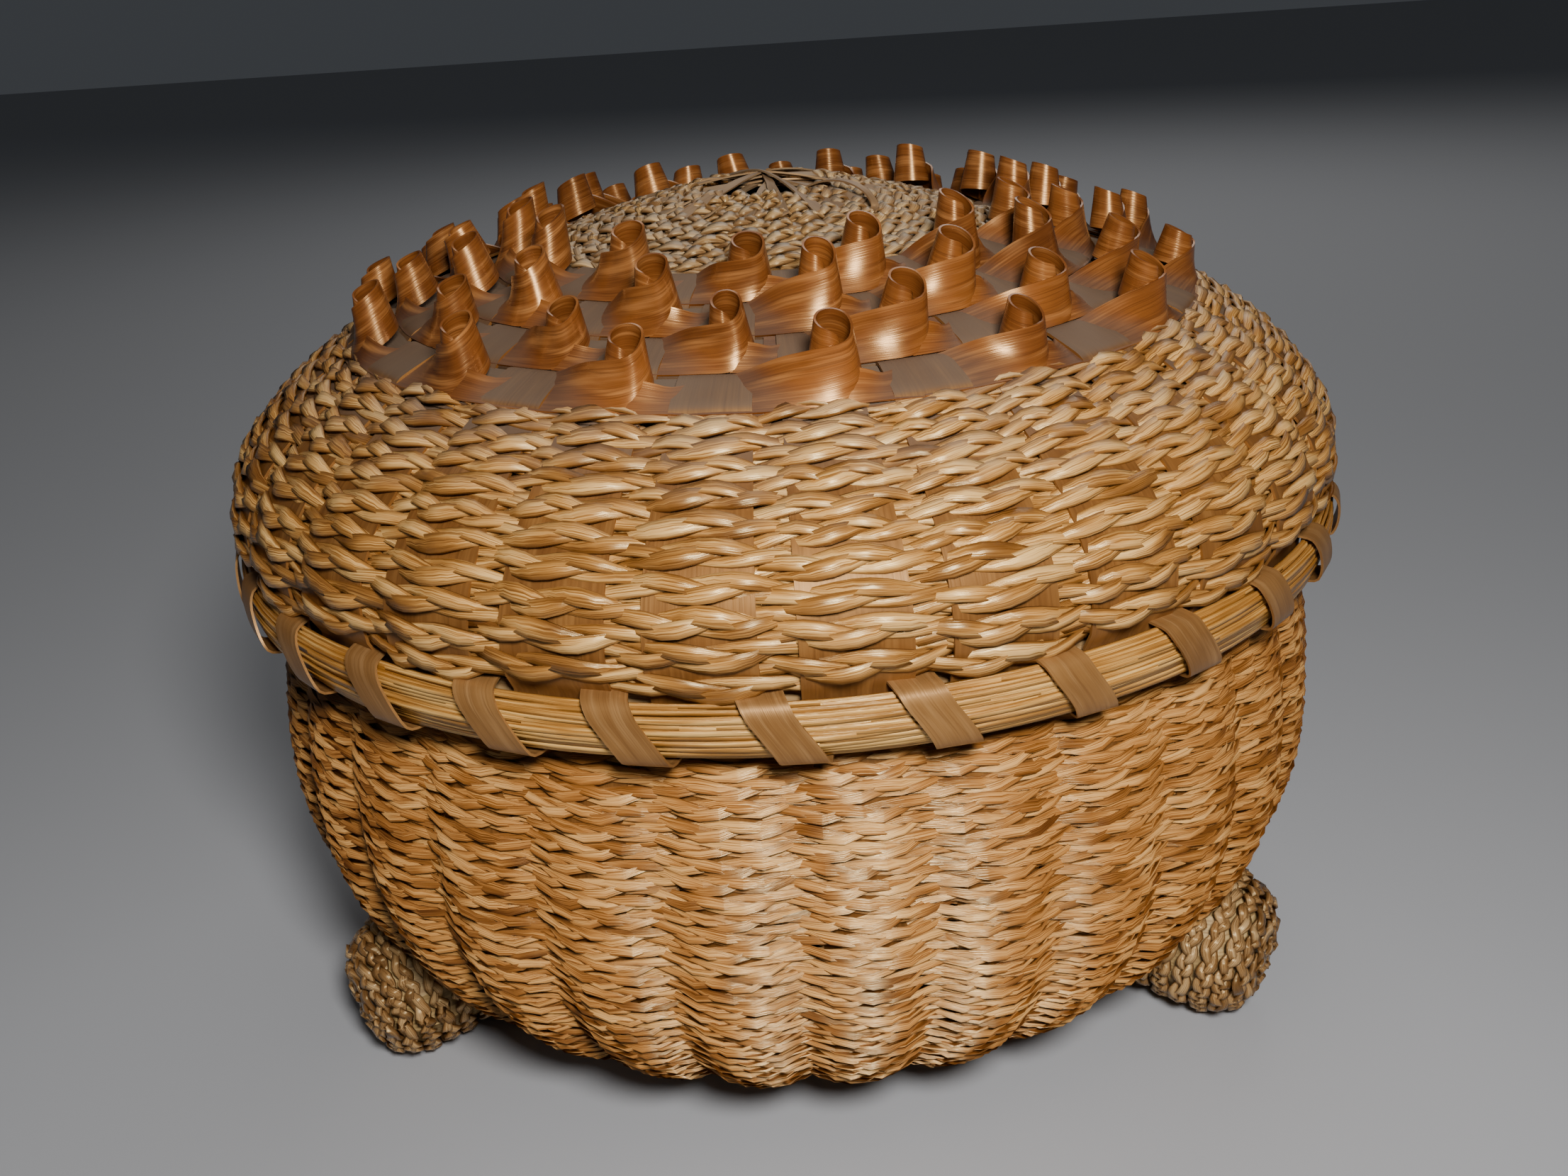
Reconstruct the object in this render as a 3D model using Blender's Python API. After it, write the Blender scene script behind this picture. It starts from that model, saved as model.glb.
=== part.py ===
"""Lidded basket of ash splint and braided sweetgrass on three woven feet.

Metres, +Z up. The origin is on the table, under the middle of the basket, and the front is at -Y.
A turned outline is a list of (radius, height) pairs. A curve runs along the woven outer face of a
wall, and every other layer of that wall is the same curve set inward by the layers before it.
"""

import math

import bmesh
import bpy
from mathutils import Matrix, Vector

GAP = 0.0003

STAKES = 30
STAKE_WIDTH = 0.0130
STAKE_THICKNESS = 0.0009
STAKE_SIDE_ROOM = 0.0008
WEAVE_THICKNESS = 0.0022
FULL_WIDTH_RADIUS = 0.0990

BASE_HEIGHT = 0.0045
BASE_RADIUS = 0.0530
BELLY_RADIUS = 0.0995
BELLY_HEIGHT = 0.0580
SEAT_RADIUS = 0.0942
SEAT_HEIGHT = 0.0886
NECK_RADIUS = 0.0912
NECK_RISE = 0.0026
NECK_LENGTH = 0.0062
BASE_START_RADIUS = 0.0125
HUB_INSET = 0.0001
SHOULDER_SHARE = 0.6
RIB_DEPTH = 0.0030
SEAT_RIB_DEPTH = 0.0004
RIB_START = BASE_HEIGHT + 1.5 * WEAVE_THICKNESS
RIB_FULL_SHARE = 0.4

HOOP_THICKNESS = 0.0010
HOOP_HEIGHT = 0.0040
LASHING_THICKNESS = 0.0005
LASHING_WIDTH = 0.0068
LASHING_SLANT = 0.0050
LASHING_RUN_HEIGHT = 0.0020

BUNDLE_THICKNESS = 0.0032
BUNDLE_HEIGHT = 0.0088
BUNDLE_ROUNDING = 0.0011
LID_BULGE = 0.0035
LID_BULGE_RISE = 0.0140
LID_SHOULDER_RADIUS = 0.0940
LID_SHOULDER_RISE = 0.0226
LID_RIB_SHARE = 0.6
LID_RIB_START = 4.0
LID_RIB_END = 2.2
DOME_RADIUS = 0.0775
DOME_RISE = 0.0326
CROWN_RADIUS = 0.0180
CROWN_RISE = 0.0190
CROWN_HUB_WIDTH = 0.0060
DOME_FULLNESS = 0.0008

SPLINT_ROWS = 4
ROW_SEAM = 0.0010
SPLINT_WIDTH = 0.0087
SPLINT_THICKNESS = 0.0005
CURLS = STAKES // 2
CURL_RADIUS = 0.0041
CURL_HEIGHT = 0.0094
CURL_ROOT_SHARE = 0.6
CURL_ROOM_SHARE = 0.5

CENTRE_STRIPS = 6
CENTRE_STRIP_WIDTH = 0.0026
CENTRE_STRIP_THICKNESS = 0.0005
CENTRE_STRIP_OVERLAP = 0.0055
CENTRE_STRIP_ROOM = 1.5 * GAP
CENTRE_STRIP_BEND = 0.75
PEAK_RISE = 0.0024

FOOT_ANGLES = {"front_left": -150.0, "front_right": -30.0, "back": 90.0}
FOOT_RADIUS = 0.0145
FOOT_NOSE = 0.0142
FOOT_ROOT = 0.0200
FOOT_TILT = math.radians(9.0)
FOOT_BLUNTNESS = 0.7
FOOT_ROOT_SHARE = 0.82
FOOT_WAIST_SHARE = 0.95
FOOT_STANDOFF = 0.0055
FOOT_SKIN = 0.0020
SOLE_DEPTH = 0.0008
TAIL_RADIUS = 0.0020
TAIL_INSIDE = 0.0015
TAIL_SINK_SHARE = 0.25

WALL_COLUMNS = 3 * STAKES
RING_COLUMNS = 45
PLATE_COLUMNS = STAKES
FOOT_SIDES = 14
CORE_SIDES = 10
TAIL_SIDES = 8
CURVE_STEPS = 4

STEP_ANGLE = 2.0 * math.pi / STAKES
QUARTER_TURN = math.radians(90.0)
SHARP_ANGLE = math.radians(35.0)
MITRE_LIMIT = 0.5
NO_LENGTH = 1e-9
MERGE_DISTANCE = 1e-6
TABLE_SIZE = 4.0 * BELLY_RADIUS

SWEETGRASS = ("sweetgrass_braid", (0.62, 0.45, 0.22, 1.0), 0.55)
GRASS_BUNDLE = ("sweetgrass_bundle", (0.66, 0.52, 0.28, 1.0), 0.5)
ASH_STAKE = ("ash_stake", (0.46, 0.31, 0.17, 1.0), 0.6)
ASH_LASHING = ("ash_lashing", (0.50, 0.30, 0.13, 1.0), 0.4)
ASH_CURL = ("ash_curl", (0.55, 0.26, 0.09, 1.0), 0.35)
ASH_GREY = ("ash_weathered", (0.34, 0.28, 0.23, 1.0), 0.7)


def clear_scene():
    for item in list(bpy.data.objects):
        bpy.data.objects.remove(item, do_unlink=True)


def material(spec):
    name, colour, roughness = spec
    made = bpy.data.materials.get(name)
    if made is None:
        made = bpy.data.materials.new(name)
        made.use_nodes = True
        shader = made.node_tree.nodes["Principled BSDF"]
        shader.inputs["Base Color"].default_value = colour
        shader.inputs["Roughness"].default_value = roughness
        shader.inputs["Metallic"].default_value = 0.0
    return made


def add_object(name, bm, spec, smooth=True):
    """Turn a bmesh into a named object with its faces outward."""
    bmesh.ops.recalc_face_normals(bm, faces=bm.faces[:])
    if bm.calc_volume(signed=True) < 0.0:
        bmesh.ops.reverse_faces(bm, faces=bm.faces[:])
    mesh = bpy.data.meshes.new(name)
    bm.to_mesh(mesh)
    bm.free()
    if smooth:
        mesh.shade_smooth()
        mesh.set_sharp_from_angle(angle=SHARP_ANGLE)
    made = bpy.data.objects.new(name, mesh)
    made.data.materials.append(material(spec))
    bpy.context.scene.collection.objects.link(made)
    return made


def make_guide(name, bm, spec):
    """An object that only shapes others, by a cut or as the shape that joins them."""
    made = add_object(name, bm, spec, smooth=False)
    made.hide_render = True
    made.display_type = "WIRE"
    return made


def combine(target, other, operation):
    change = target.modifiers.new(other.name, "BOOLEAN")
    change.operation = operation
    change.solver = "EXACT"
    change.object = other


def cut(target, cutter):
    combine(target, cutter, "DIFFERENCE")


def join(target, guide):
    combine(target, guide, "UNION")


def bezier(points, t):
    """A point of the cubic curve with these four control points."""
    a, b, c, d = points
    s = 1.0 - t
    return tuple(
        s ** 3 * a[i] + 3 * s * s * t * b[i] + 3 * s * t * t * c[i] + t ** 3 * d[i]
        for i in range(2)
    )


def inset_curve(curve, depth):
    """The same curve moved to its inner side, square to its own direction."""
    moved = []
    for i, (r, z) in enumerate(curve):
        before = curve[max(i - 1, 0)]
        after = curve[min(i + 1, len(curve) - 1)]
        ways = []
        for start, end in ((before, (r, z)), ((r, z), after)):
            way = Vector((end[0] - start[0], end[1] - start[1]))
            if way.length > NO_LENGTH:
                ways.append(way.normalized())
        middle = sum(ways, Vector((0.0, 0.0))).normalized()
        mitre = depth / max(middle.dot(ways[0]), MITRE_LIMIT)
        moved.append((r - middle.y * mitre, z + middle.x * mitre))
    return moved


def seat_curve_radius(height):
    """Outer radius of the body's weave between its belly and its neck."""
    share = (height - BELLY_HEIGHT) / (SEAT_HEIGHT - BELLY_HEIGHT)
    return BELLY_RADIUS - (BELLY_RADIUS - SEAT_RADIUS) * share ** 2


def body_curve():
    """The bowl's outer face at its ribs, from the edge of the base to the rim."""
    points = []
    for i in range(CURVE_STEPS + 1):
        turn = QUARTER_TURN * i / CURVE_STEPS
        points.append((
            BASE_RADIUS + (BELLY_RADIUS - BASE_RADIUS) * math.sin(turn),
            BELLY_HEIGHT - (BELLY_HEIGHT - BASE_HEIGHT) * math.cos(turn),
        ))
    shoulder = BELLY_HEIGHT + SHOULDER_SHARE * (SEAT_HEIGHT - BELLY_HEIGHT)
    points.append((seat_curve_radius(shoulder), shoulder))
    points.append((SEAT_RADIUS, SEAT_HEIGHT))
    points.append((NECK_RADIUS, SEAT_HEIGHT + NECK_RISE))
    points.append((NECK_RADIUS, SEAT_HEIGHT + NECK_RISE + NECK_LENGTH))
    return points


def body_rib_depth(height):
    """How far the weave dips between two ribs of the bowl."""
    rise = min((height - RIB_START) / (RIB_FULL_SHARE * (BELLY_HEIGHT - BASE_HEIGHT)), 1.0)
    if height > BELLY_HEIGHT:
        share = min((height - BELLY_HEIGHT) / (SEAT_HEIGHT - BELLY_HEIGHT), 1.0)
        return RIB_DEPTH + (SEAT_RIB_DEPTH - RIB_DEPTH) * share
    return RIB_DEPTH * max(rise, 0.0)


def stake_half_width(radius):
    """Half of a stake's width where it lies at this radius."""
    return 0.5 * STAKE_WIDTH * min(radius / FULL_WIDTH_RADIUS, 1.0)


def crest_half_angle(radius):
    """Half of the angle that a rib's flat crest takes over its stake."""
    return math.atan2(stake_half_width(radius) + STAKE_SIDE_ROOM, radius)


CREST_ANGLE = crest_half_angle(FULL_WIDTH_RADIUS)
CREST_FLAT = math.cos(CREST_ANGLE)

RIM_TOP = SEAT_HEIGHT + NECK_RISE + NECK_LENGTH
STAKE_DEPTH = WEAVE_THICKNESS + GAP
LID_BOTTOM = SEAT_HEIGHT - 0.5 * GAP
LASHING_INSIDE = SEAT_RADIUS + GAP
LID_HOOP_INSIDE = LASHING_INSIDE + LASHING_THICKNESS + GAP
LID_STAKE_INSIDE = LID_HOOP_INSIDE + HOOP_THICKNESS + GAP
LID_STAKE_OUTSIDE = LID_STAKE_INSIDE + STAKE_THICKNESS
BUNDLE_INSIDE = math.hypot(LID_STAKE_OUTSIDE, 0.5 * STAKE_WIDTH) + GAP
BUNDLE_BOTTOM = LID_BOTTOM + LASHING_THICKNESS + GAP
BUNDLE_TOP = BUNDLE_BOTTOM + BUNDLE_HEIGHT
LID_WEAVE_BOTTOM = BUNDLE_TOP + GAP
LID_WEAVE_RADIUS = (LID_STAKE_OUTSIDE + GAP) / CREST_FLAT + WEAVE_THICKNESS
LID_DOME_HEIGHT = LID_WEAVE_BOTTOM + DOME_RISE


def lid_side_curve():
    """The lid's outer face from its grass bundle over the shoulder to the splint rows."""
    control = (
        (LID_WEAVE_RADIUS, LID_WEAVE_BOTTOM),
        (LID_WEAVE_RADIUS + LID_BULGE, LID_WEAVE_BOTTOM + LID_BULGE_RISE),
        (LID_SHOULDER_RADIUS, LID_WEAVE_BOTTOM + LID_SHOULDER_RISE),
        (DOME_RADIUS, LID_DOME_HEIGHT),
    )
    return [bezier(control, i / CURVE_STEPS) for i in range(CURVE_STEPS + 1)]


def dome_point(radius):
    """The lid's upper face between the shoulder and the crown."""
    share = (DOME_RADIUS - radius) / (DOME_RADIUS - CROWN_RADIUS)
    fullness = 4.0 * DOME_FULLNESS * share * (1.0 - share)
    return (radius, LID_DOME_HEIGHT + CROWN_RISE * share + fullness)


def row_curve(row):
    outer = DOME_RADIUS - ROW_SEAM - row * (SPLINT_WIDTH + GAP)
    return [dome_point(outer), dome_point(outer - SPLINT_WIDTH)]


def lid_rib_depth(height):
    """How far the weave dips between two ribs of the lid, fading to nothing at both edges."""
    share = (height - LID_WEAVE_BOTTOM) / DOME_RISE
    fade = max(0.0, min(1.0, LID_RIB_START * share, LID_RIB_END * (1.0 - share)))
    return LID_RIB_SHARE * RIB_DEPTH * fade


def outline_edges(bm, verts, radii):
    """Edges round a closed outline, leaving out the one that would lie on the axis."""
    pairs = [(i - 1, i) for i in range(len(verts)) if max(radii[i - 1], radii[i]) > 0.0]
    return [bm.edges.new((verts[i], verts[j])) for i, j in pairs]


def turned(outline, columns, start=0.0):
    """Turn a closed outline about Z, without its edge along the axis where it has one."""
    bm = bmesh.new()
    turn = Matrix.Rotation(start, 4, "Z")
    verts = [bm.verts.new(turn @ Vector((r, 0.0, z))) for r, z in outline]
    edges = outline_edges(bm, verts, [r for r, z in outline])
    bmesh.ops.spin(
        bm, geom=verts + edges, cent=(0.0, 0.0, 0.0), axis=(0.0, 0.0, 1.0),
        angle=2.0 * math.pi, steps=columns, use_merge=True,
    )
    bmesh.ops.remove_doubles(bm, verts=bm.verts[:], dist=MERGE_DISTANCE)
    return bm


def closed_outline(outer, inner):
    return list(outer) + list(reversed(inner))


def flute(bm, rib_depth):
    """Give a turned wall one flat crest over each stake and one valley between stakes."""
    column_angle = 2.0 * math.pi / WALL_COLUMNS
    for vert in bm.verts:
        radius = math.hypot(vert.co.x, vert.co.y)
        angle = math.atan2(vert.co.y, vert.co.x) - 0.5 * STEP_ANGLE
        column = round(angle / column_angle)
        place, kind = divmod(column, 3)
        middle = (place + 1) * STEP_ANGLE
        angle = middle + (-0.5 * STEP_ANGLE, -CREST_ANGLE, CREST_ANGLE)[kind]
        if kind == 0:
            radius -= rib_depth(vert.co.z)
        vert.co.x = radius * math.cos(angle)
        vert.co.y = radius * math.sin(angle)


def fluted_wall(name, curve, beyond, rib_depth, spec):
    """A woven wall whose upper edge is mitred to a curve that goes on beyond it."""
    inner = inset_curve(curve + beyond, WEAVE_THICKNESS)[:len(curve)]
    outline = closed_outline(curve, inner)
    bm = turned(outline, WALL_COLUMNS, 0.5 * STEP_ANGLE)
    flute(bm, rib_depth)
    return add_object(name, bm, spec)


def ring(name, outer, inner, spec, columns=RING_COLUMNS):
    """A turned ring whose flats keep clear of what its inner face goes round."""
    widened = [(r / math.cos(math.pi / columns), z) for r, z in inner]
    return add_object(name, turned(closed_outline(outer, widened), columns), spec)


def sweep(bm, sections):
    """Extrude a closed section through a list of sections with the same number of points."""
    verts = [bm.verts.new(point) for point in sections[0]]
    start = face = bm.faces.new(verts)
    for before, after in zip(sections, sections[1:]):
        grown = bmesh.ops.extrude_face_region(bm, geom=[face])["geom"]
        if face is not start:
            bmesh.ops.delete(bm, geom=[face], context="FACES_ONLY")
        new_verts = [item for item in grown if isinstance(item, bmesh.types.BMVert)]
        face = next(item for item in grown if isinstance(item, bmesh.types.BMFace))
        for vert in new_verts:
            nearest = min(range(len(before)), key=lambda i: (before[i] - vert.co).length)
            vert.co = after[nearest]
    return bm


def copy_round(bm, count, first=0.0):
    """Turn a single piece into a ring of separate copies."""
    original = bm.verts[:] + bm.edges[:] + bm.faces[:]
    for i in range(1, count):
        copied = bmesh.ops.duplicate(bm, geom=original)["geom"]
        moved = [item for item in copied if isinstance(item, bmesh.types.BMVert)]
        bmesh.ops.rotate(
            bm, verts=moved, cent=(0.0, 0.0, 0.0),
            matrix=Matrix.Rotation(2.0 * math.pi * i / count, 3, "Z"),
        )
    bmesh.ops.rotate(
        bm, verts=bm.verts[:], cent=(0.0, 0.0, 0.0), matrix=Matrix.Rotation(first, 3, "Z"),
    )
    return bm


def close_hub(bm, reach):
    """Open the inner ends of a ring of strips and join them all to one flat hub."""
    def is_end(item):
        return all(math.hypot(v.co.x, v.co.y) < reach for v in item.verts)

    ends = [face for face in bm.faces if is_end(face)]
    corners = {vert for face in ends for vert in face.verts}
    middle = sum(vert.co.z for vert in corners) / len(corners)
    bmesh.ops.delete(bm, geom=ends, context="FACES_ONLY")
    for upper in (False, True):
        loop = [vert for vert in corners if (vert.co.z > middle) == upper]
        loop.sort(key=lambda vert: math.atan2(vert.co.y, vert.co.x))
        bm.faces.new(loop)
    rim = [edge for edge in bm.edges if edge.is_boundary]
    bmesh.ops.holes_fill(bm, edges=rim, sides=4)


def stake_ring(name, outside):
    """Flat tapering strips whose outer faces follow a curve, one for each rib, met at a hub."""
    inside = inset_curve(outside, STAKE_THICKNESS)
    sections = []
    for (r, z), (r_in, z_in) in zip(outside, inside):
        half = stake_half_width(r)
        sections.append([
            Vector((r, -half, z)), Vector((r, half, z)),
            Vector((r_in, half, z_in)), Vector((r_in, -half, z_in)),
        ])
    bm = copy_round(sweep(bmesh.new(), sections), STAKES)
    radii = sorted(r for r, z in outside)
    close_hub(bm, 0.5 * (radii[0] + radii[1]))
    add_object(name, bm, ASH_STAKE, smooth=False)


def lashing_ring(name, outline, run, turns):
    """One strip wound over a rim between the ribs: its bent turns and the run that joins them.

    The outline's points are (radius, height, lean), where the lean is a step to the side.
    """
    sections = []
    for side in (-0.5, 0.5):
        section = [Vector((r, side * LASHING_WIDTH + lean, z)) for r, z, lean in outline]
        sections.append(section)
    bent = copy_round(sweep(bmesh.new(), sections), turns, 0.5 * STEP_ANGLE)
    made = add_object(name, turned(run, STAKES, 0.5 * STEP_ANGLE), ASH_LASHING, smooth=False)
    join(made, make_guide(name + "_turns", bent, ASH_LASHING))


def build_body():
    curve = body_curve()
    wall = fluted_wall("body_weave", curve, [], body_rib_depth, SWEETGRASS)
    flat = inset_curve([(BASE_START_RADIUS, BASE_HEIGHT)] + curve, STAKE_DEPTH)
    stake_ring("body_stakes", [(r * CREST_FLAT, z) for r, z in flat])

    wall_foot = inset_curve(curve, WEAVE_THICKNESS)[0]
    plate = [
        (0.0, BASE_HEIGHT), (BASE_RADIUS * CREST_FLAT - GAP, BASE_HEIGHT),
        (wall_foot[0] * CREST_FLAT - GAP, wall_foot[1]), (0.0, wall_foot[1]),
    ]
    add_object("base_weave", turned(plate, PLATE_COLUMNS), ASH_GREY)
    return wall


def build_body_rim():
    hoop_bottom = RIM_TOP - HOOP_HEIGHT
    outer_in = NECK_RADIUS + GAP
    outer_out = outer_in + HOOP_THICKNESS
    inner_out = (NECK_RADIUS - STAKE_DEPTH) * CREST_FLAT - STAKE_THICKNESS - GAP
    inner_out = min(inner_out, NECK_RADIUS - WEAVE_THICKNESS - SEAT_RIB_DEPTH - GAP)
    inner_in = inner_out - HOOP_THICKNESS
    heights = (hoop_bottom, RIM_TOP)
    ring(
        "body_rim_hoop_outer", [(outer_out, z) for z in heights],
        [(outer_in, z) for z in heights], ASH_STAKE,
    )
    ring(
        "body_rim_hoop_inner", [(inner_out, z) for z in heights],
        [(inner_in, z) for z in heights], ASH_STAKE,
    )
    outside = outer_out + GAP
    inside = inner_in - GAP
    top = RIM_TOP + GAP
    far = LASHING_THICKNESS
    lean = LASHING_SLANT
    outline = [
        (outside, hoop_bottom, lean), (outside + far, hoop_bottom, lean),
        (outside + far, top + far, 0.0), (inside - far, top + far, 0.0),
        (inside - far, hoop_bottom, 0.0), (inside, hoop_bottom, 0.0),
        (inside, top, 0.0), (outside, top, 0.0),
    ]
    run_low, run_high = top + HUB_INSET, top + far - HUB_INSET
    run = [
        (inner_in, run_low), (inner_out, run_low), (inner_out, run_high), (inner_in, run_high),
    ]
    lashing_ring("body_rim_lashing", outline, run, STAKES // 2)


def foot_outline(inset=0.0):
    """Half outline of a foot along its own axis, +X towards its nose, from root to nose."""
    widest = FOOT_RADIUS - inset
    nose = FOOT_NOSE - inset
    points = [
        (-FOOT_ROOT, FOOT_ROOT_SHARE * widest), (-0.5 * FOOT_ROOT, FOOT_WAIST_SHARE * widest),
    ]
    for i in range(CURVE_STEPS):
        turn = QUARTER_TURN * i / CURVE_STEPS
        along = nose * math.sin(turn) ** FOOT_BLUNTNESS
        points.append((along, widest * math.cos(turn) ** FOOT_BLUNTNESS))
    points.append((nose, 0.0))
    return points


def along_x(outline, sides):
    """Turn a closed half outline of (along, radius) pairs about the X axis."""
    bm = bmesh.new()
    verts = [bm.verts.new((x, 0.0, r)) for x, r in outline]
    edges = outline_edges(bm, verts, [r for x, r in outline])
    bmesh.ops.spin(
        bm, geom=verts + edges, cent=(0.0, 0.0, 0.0), axis=(1.0, 0.0, 0.0),
        angle=2.0 * math.pi, steps=sides, use_merge=True,
    )
    bmesh.ops.remove_doubles(bm, verts=bm.verts[:], dist=MERGE_DISTANCE)
    return bm


def foot_place(angle):
    """Matrix that puts a foot's own axis at its place beside the bowl."""
    drops = [x * math.sin(FOOT_TILT) + r * math.cos(FOOT_TILT) for x, r in foot_outline()]
    height = max(drops) - SOLE_DEPTH
    share = min((BELLY_HEIGHT - height) / (BELLY_HEIGHT - BASE_HEIGHT), 1.0)
    wall = BASE_RADIUS + (BELLY_RADIUS - BASE_RADIUS) * math.sqrt(1.0 - share ** 2)
    place = Matrix.Rotation(math.radians(angle), 4, "Z")
    place @= Matrix.Translation((wall + FOOT_STANDOFF, 0.0, height))
    return place @ Matrix.Rotation(FOOT_TILT, 4, "Y")


def tail_reach():
    """Distance from a foot's middle to the inner end of its tail, along its own axis."""
    through = WEAVE_THICKNESS + RIB_DEPTH + TAIL_INSIDE
    return (FOOT_STANDOFF + through) / math.cos(FOOT_TILT) + TAIL_SINK_SHARE * FOOT_RADIUS


def tail(radius, reach):
    return [(-reach, 0.0), (-reach, radius), (0.0, radius), (0.0, 0.0)]


def build_feet(wall):
    envelope_curve = [(0.0, BASE_HEIGHT)] + body_curve()
    outside = inset_curve(envelope_curve, -GAP)
    outside[0] = (0.0, outside[1][1])
    solid_bowl = turned(outside + [(0.0, RIM_TOP)], WALL_COLUMNS, 0.5 * STEP_ANGLE)
    envelope = make_guide("bowl_envelope", solid_bowl, ASH_STAKE)
    below = bmesh.new()
    sunk = Matrix.Translation((0.0, 0.0, -0.5 * TABLE_SIZE))
    bmesh.ops.create_cube(below, size=TABLE_SIZE, matrix=sunk)
    floor = make_guide("table_below", below, ASH_STAKE)

    holes = bmesh.new()
    for name, angle in FOOT_ANGLES.items():
        place = foot_place(angle)
        skin = foot_outline()
        lining = foot_outline(FOOT_SKIN)
        cover = along_x(skin + list(reversed(lining)), FOOT_SIDES)
        cover.transform(place)
        cover_object = add_object("foot_cover_" + name, cover, SWEETGRASS)
        cut(cover_object, envelope)
        cut(cover_object, floor)

        filling = foot_outline(FOOT_SKIN + GAP)
        core = along_x([(filling[0][0], 0.0)] + filling, CORE_SIDES)
        core.transform(place)
        core_object = add_object("foot_core_" + name, core, GRASS_BUNDLE)
        cut(core_object, envelope)
        stem = along_x(tail(TAIL_RADIUS, tail_reach()), TAIL_SIDES)
        stem.transform(place)
        add_object("foot_tail_" + name, stem, GRASS_BUNDLE)

        room = along_x(tail(TAIL_RADIUS + GAP, tail_reach() + GAP), TAIL_SIDES)
        room.transform(place)
        hole_mesh = bpy.data.meshes.new("hole_" + name)
        room.to_mesh(hole_mesh)
        room.free()
        holes.from_mesh(hole_mesh)
        bpy.data.meshes.remove(hole_mesh)
    hole_cutter = make_guide("foot_tail_holes", holes, ASH_STAKE)
    cut(wall, hole_cutter)
    for name in FOOT_ANGLES:
        cut(bpy.data.objects["foot_core_" + name], hole_cutter)


def build_lid_rim():
    top = BUNDLE_TOP - GAP
    hoop_heights = (BUNDLE_BOTTOM + GAP, top)
    stake_flat = LID_HOOP_INSIDE + HOOP_THICKNESS
    ring(
        "lid_rim_hoop", [(stake_flat, z) for z in hoop_heights],
        [(LID_HOOP_INSIDE, z) for z in hoop_heights], ASH_STAKE,
    )
    outside = BUNDLE_INSIDE + BUNDLE_THICKNESS
    rounding = BUNDLE_ROUNDING
    outer = [
        (outside - rounding, BUNDLE_BOTTOM), (outside, BUNDLE_BOTTOM + rounding),
        (outside, BUNDLE_TOP - rounding), (outside - rounding, BUNDLE_TOP),
    ]
    inner = [(BUNDLE_INSIDE, BUNDLE_BOTTOM), (BUNDLE_INSIDE, BUNDLE_TOP)]
    ring("lid_rim_bundle", outer, inner, GRASS_BUNDLE)

    far = LASHING_THICKNESS
    leg = outside + GAP
    inside = LASHING_INSIDE
    lean = -LASHING_SLANT
    outline = [
        (leg, BUNDLE_TOP, lean), (leg, LID_BOTTOM + far, 0.0),
        (inside + far, LID_BOTTOM + far, 0.0), (inside + far, top, 0.0),
        (inside, top, 0.0), (inside, LID_BOTTOM, 0.0),
        (leg + far, LID_BOTTOM, 0.0), (leg + far, BUNDLE_TOP, lean),
    ]
    run_in, run_out = inside + HUB_INSET, inside + far - HUB_INSET
    run_low = top - LASHING_RUN_HEIGHT
    run_high = top - HUB_INSET
    run = [(run_in, run_low), (run_out, run_low), (run_out, run_high), (run_in, run_high)]
    lashing_ring("lid_rim_lashing", outline, run, STAKES)


def build_lid_shell():
    side = lid_side_curve()
    beyond = [dome_point(DOME_RADIUS - SPLINT_WIDTH)]
    fluted_wall("lid_side_weave", side, beyond, lid_rib_depth, SWEETGRASS)

    weave_edge = row_curve(SPLINT_ROWS)[0][0]
    dome = [dome_point(r) for r in (weave_edge, CROWN_RADIUS + CROWN_HUB_WIDTH)]
    under = inset_curve(side + dome, STAKE_DEPTH)
    flat = [(r * CREST_FLAT, z) for r, z in under[1:]]
    rim = [(LID_STAKE_OUTSIDE, BUNDLE_BOTTOM + GAP), (LID_STAKE_OUTSIDE, under[0][1])]
    stake_ring("lid_stakes", rim + flat)

    half_way = 0.5 * (weave_edge + CROWN_RADIUS)
    weave = [dome_point(r) for r in (weave_edge, half_way, CROWN_RADIUS)]
    outline = closed_outline(weave, inset_curve(weave, WEAVE_THICKNESS))
    add_object("lid_centre_weave", turned(outline, PLATE_COLUMNS), SWEETGRASS)


def splint_outline(curve, depth):
    """Closed outline of a flat row whose lower face lies this far below the curve."""
    lower = inset_curve(curve, depth)
    return closed_outline(inset_curve(lower, -SPLINT_THICKNESS), lower)


def around(radius, degrees, up):
    """A station of a curl's roll, at this angle round the roll's own middle."""
    turn = math.radians(degrees)
    return (radius * math.cos(turn), radius * math.sin(turn), up)


# Stations along the two edges of a curl's strip, from where it lifts off the row on the left to
# its end inside the roll: along the row and in towards the crown as shares of CURL_RADIUS, and up
# as a share of CURL_HEIGHT.
CURL_LOWER = (
    (-3.40, -0.88, 0.0), (-2.60, -0.93, 0.025), (-1.75, -0.97, 0.035), (-0.88, -1.00, 0.045),
    around(1.0, -88, 0.055), around(1.0, -44, 0.085), around(1.0, 0, 0.13), around(1.0, 45, 0.17),
    around(0.97, 90, 0.21), around(0.92, 135, 0.25), around(0.86, 180, 0.29),
    around(0.80, 225, 0.31), around(0.73, 268, 0.31), around(0.63, 308, 0.27),
)
CURL_UPPER = (
    (-3.40, 0.83, 0.0), (-2.75, 0.72, 0.10), (-2.15, 0.52, 0.31), (-1.38, -0.05, 0.55),
    (-0.55, -0.76, 0.72), around(0.88, -60, 0.82), around(0.86, -14, 0.88), around(0.83, 32, 0.94),
    around(0.79, 78, 0.97), around(0.75, 124, 0.99), around(0.70, 170, 1.0),
    around(0.64, 216, 1.0), around(0.57, 262, 0.96), around(0.46, 304, 0.77),
)


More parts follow.
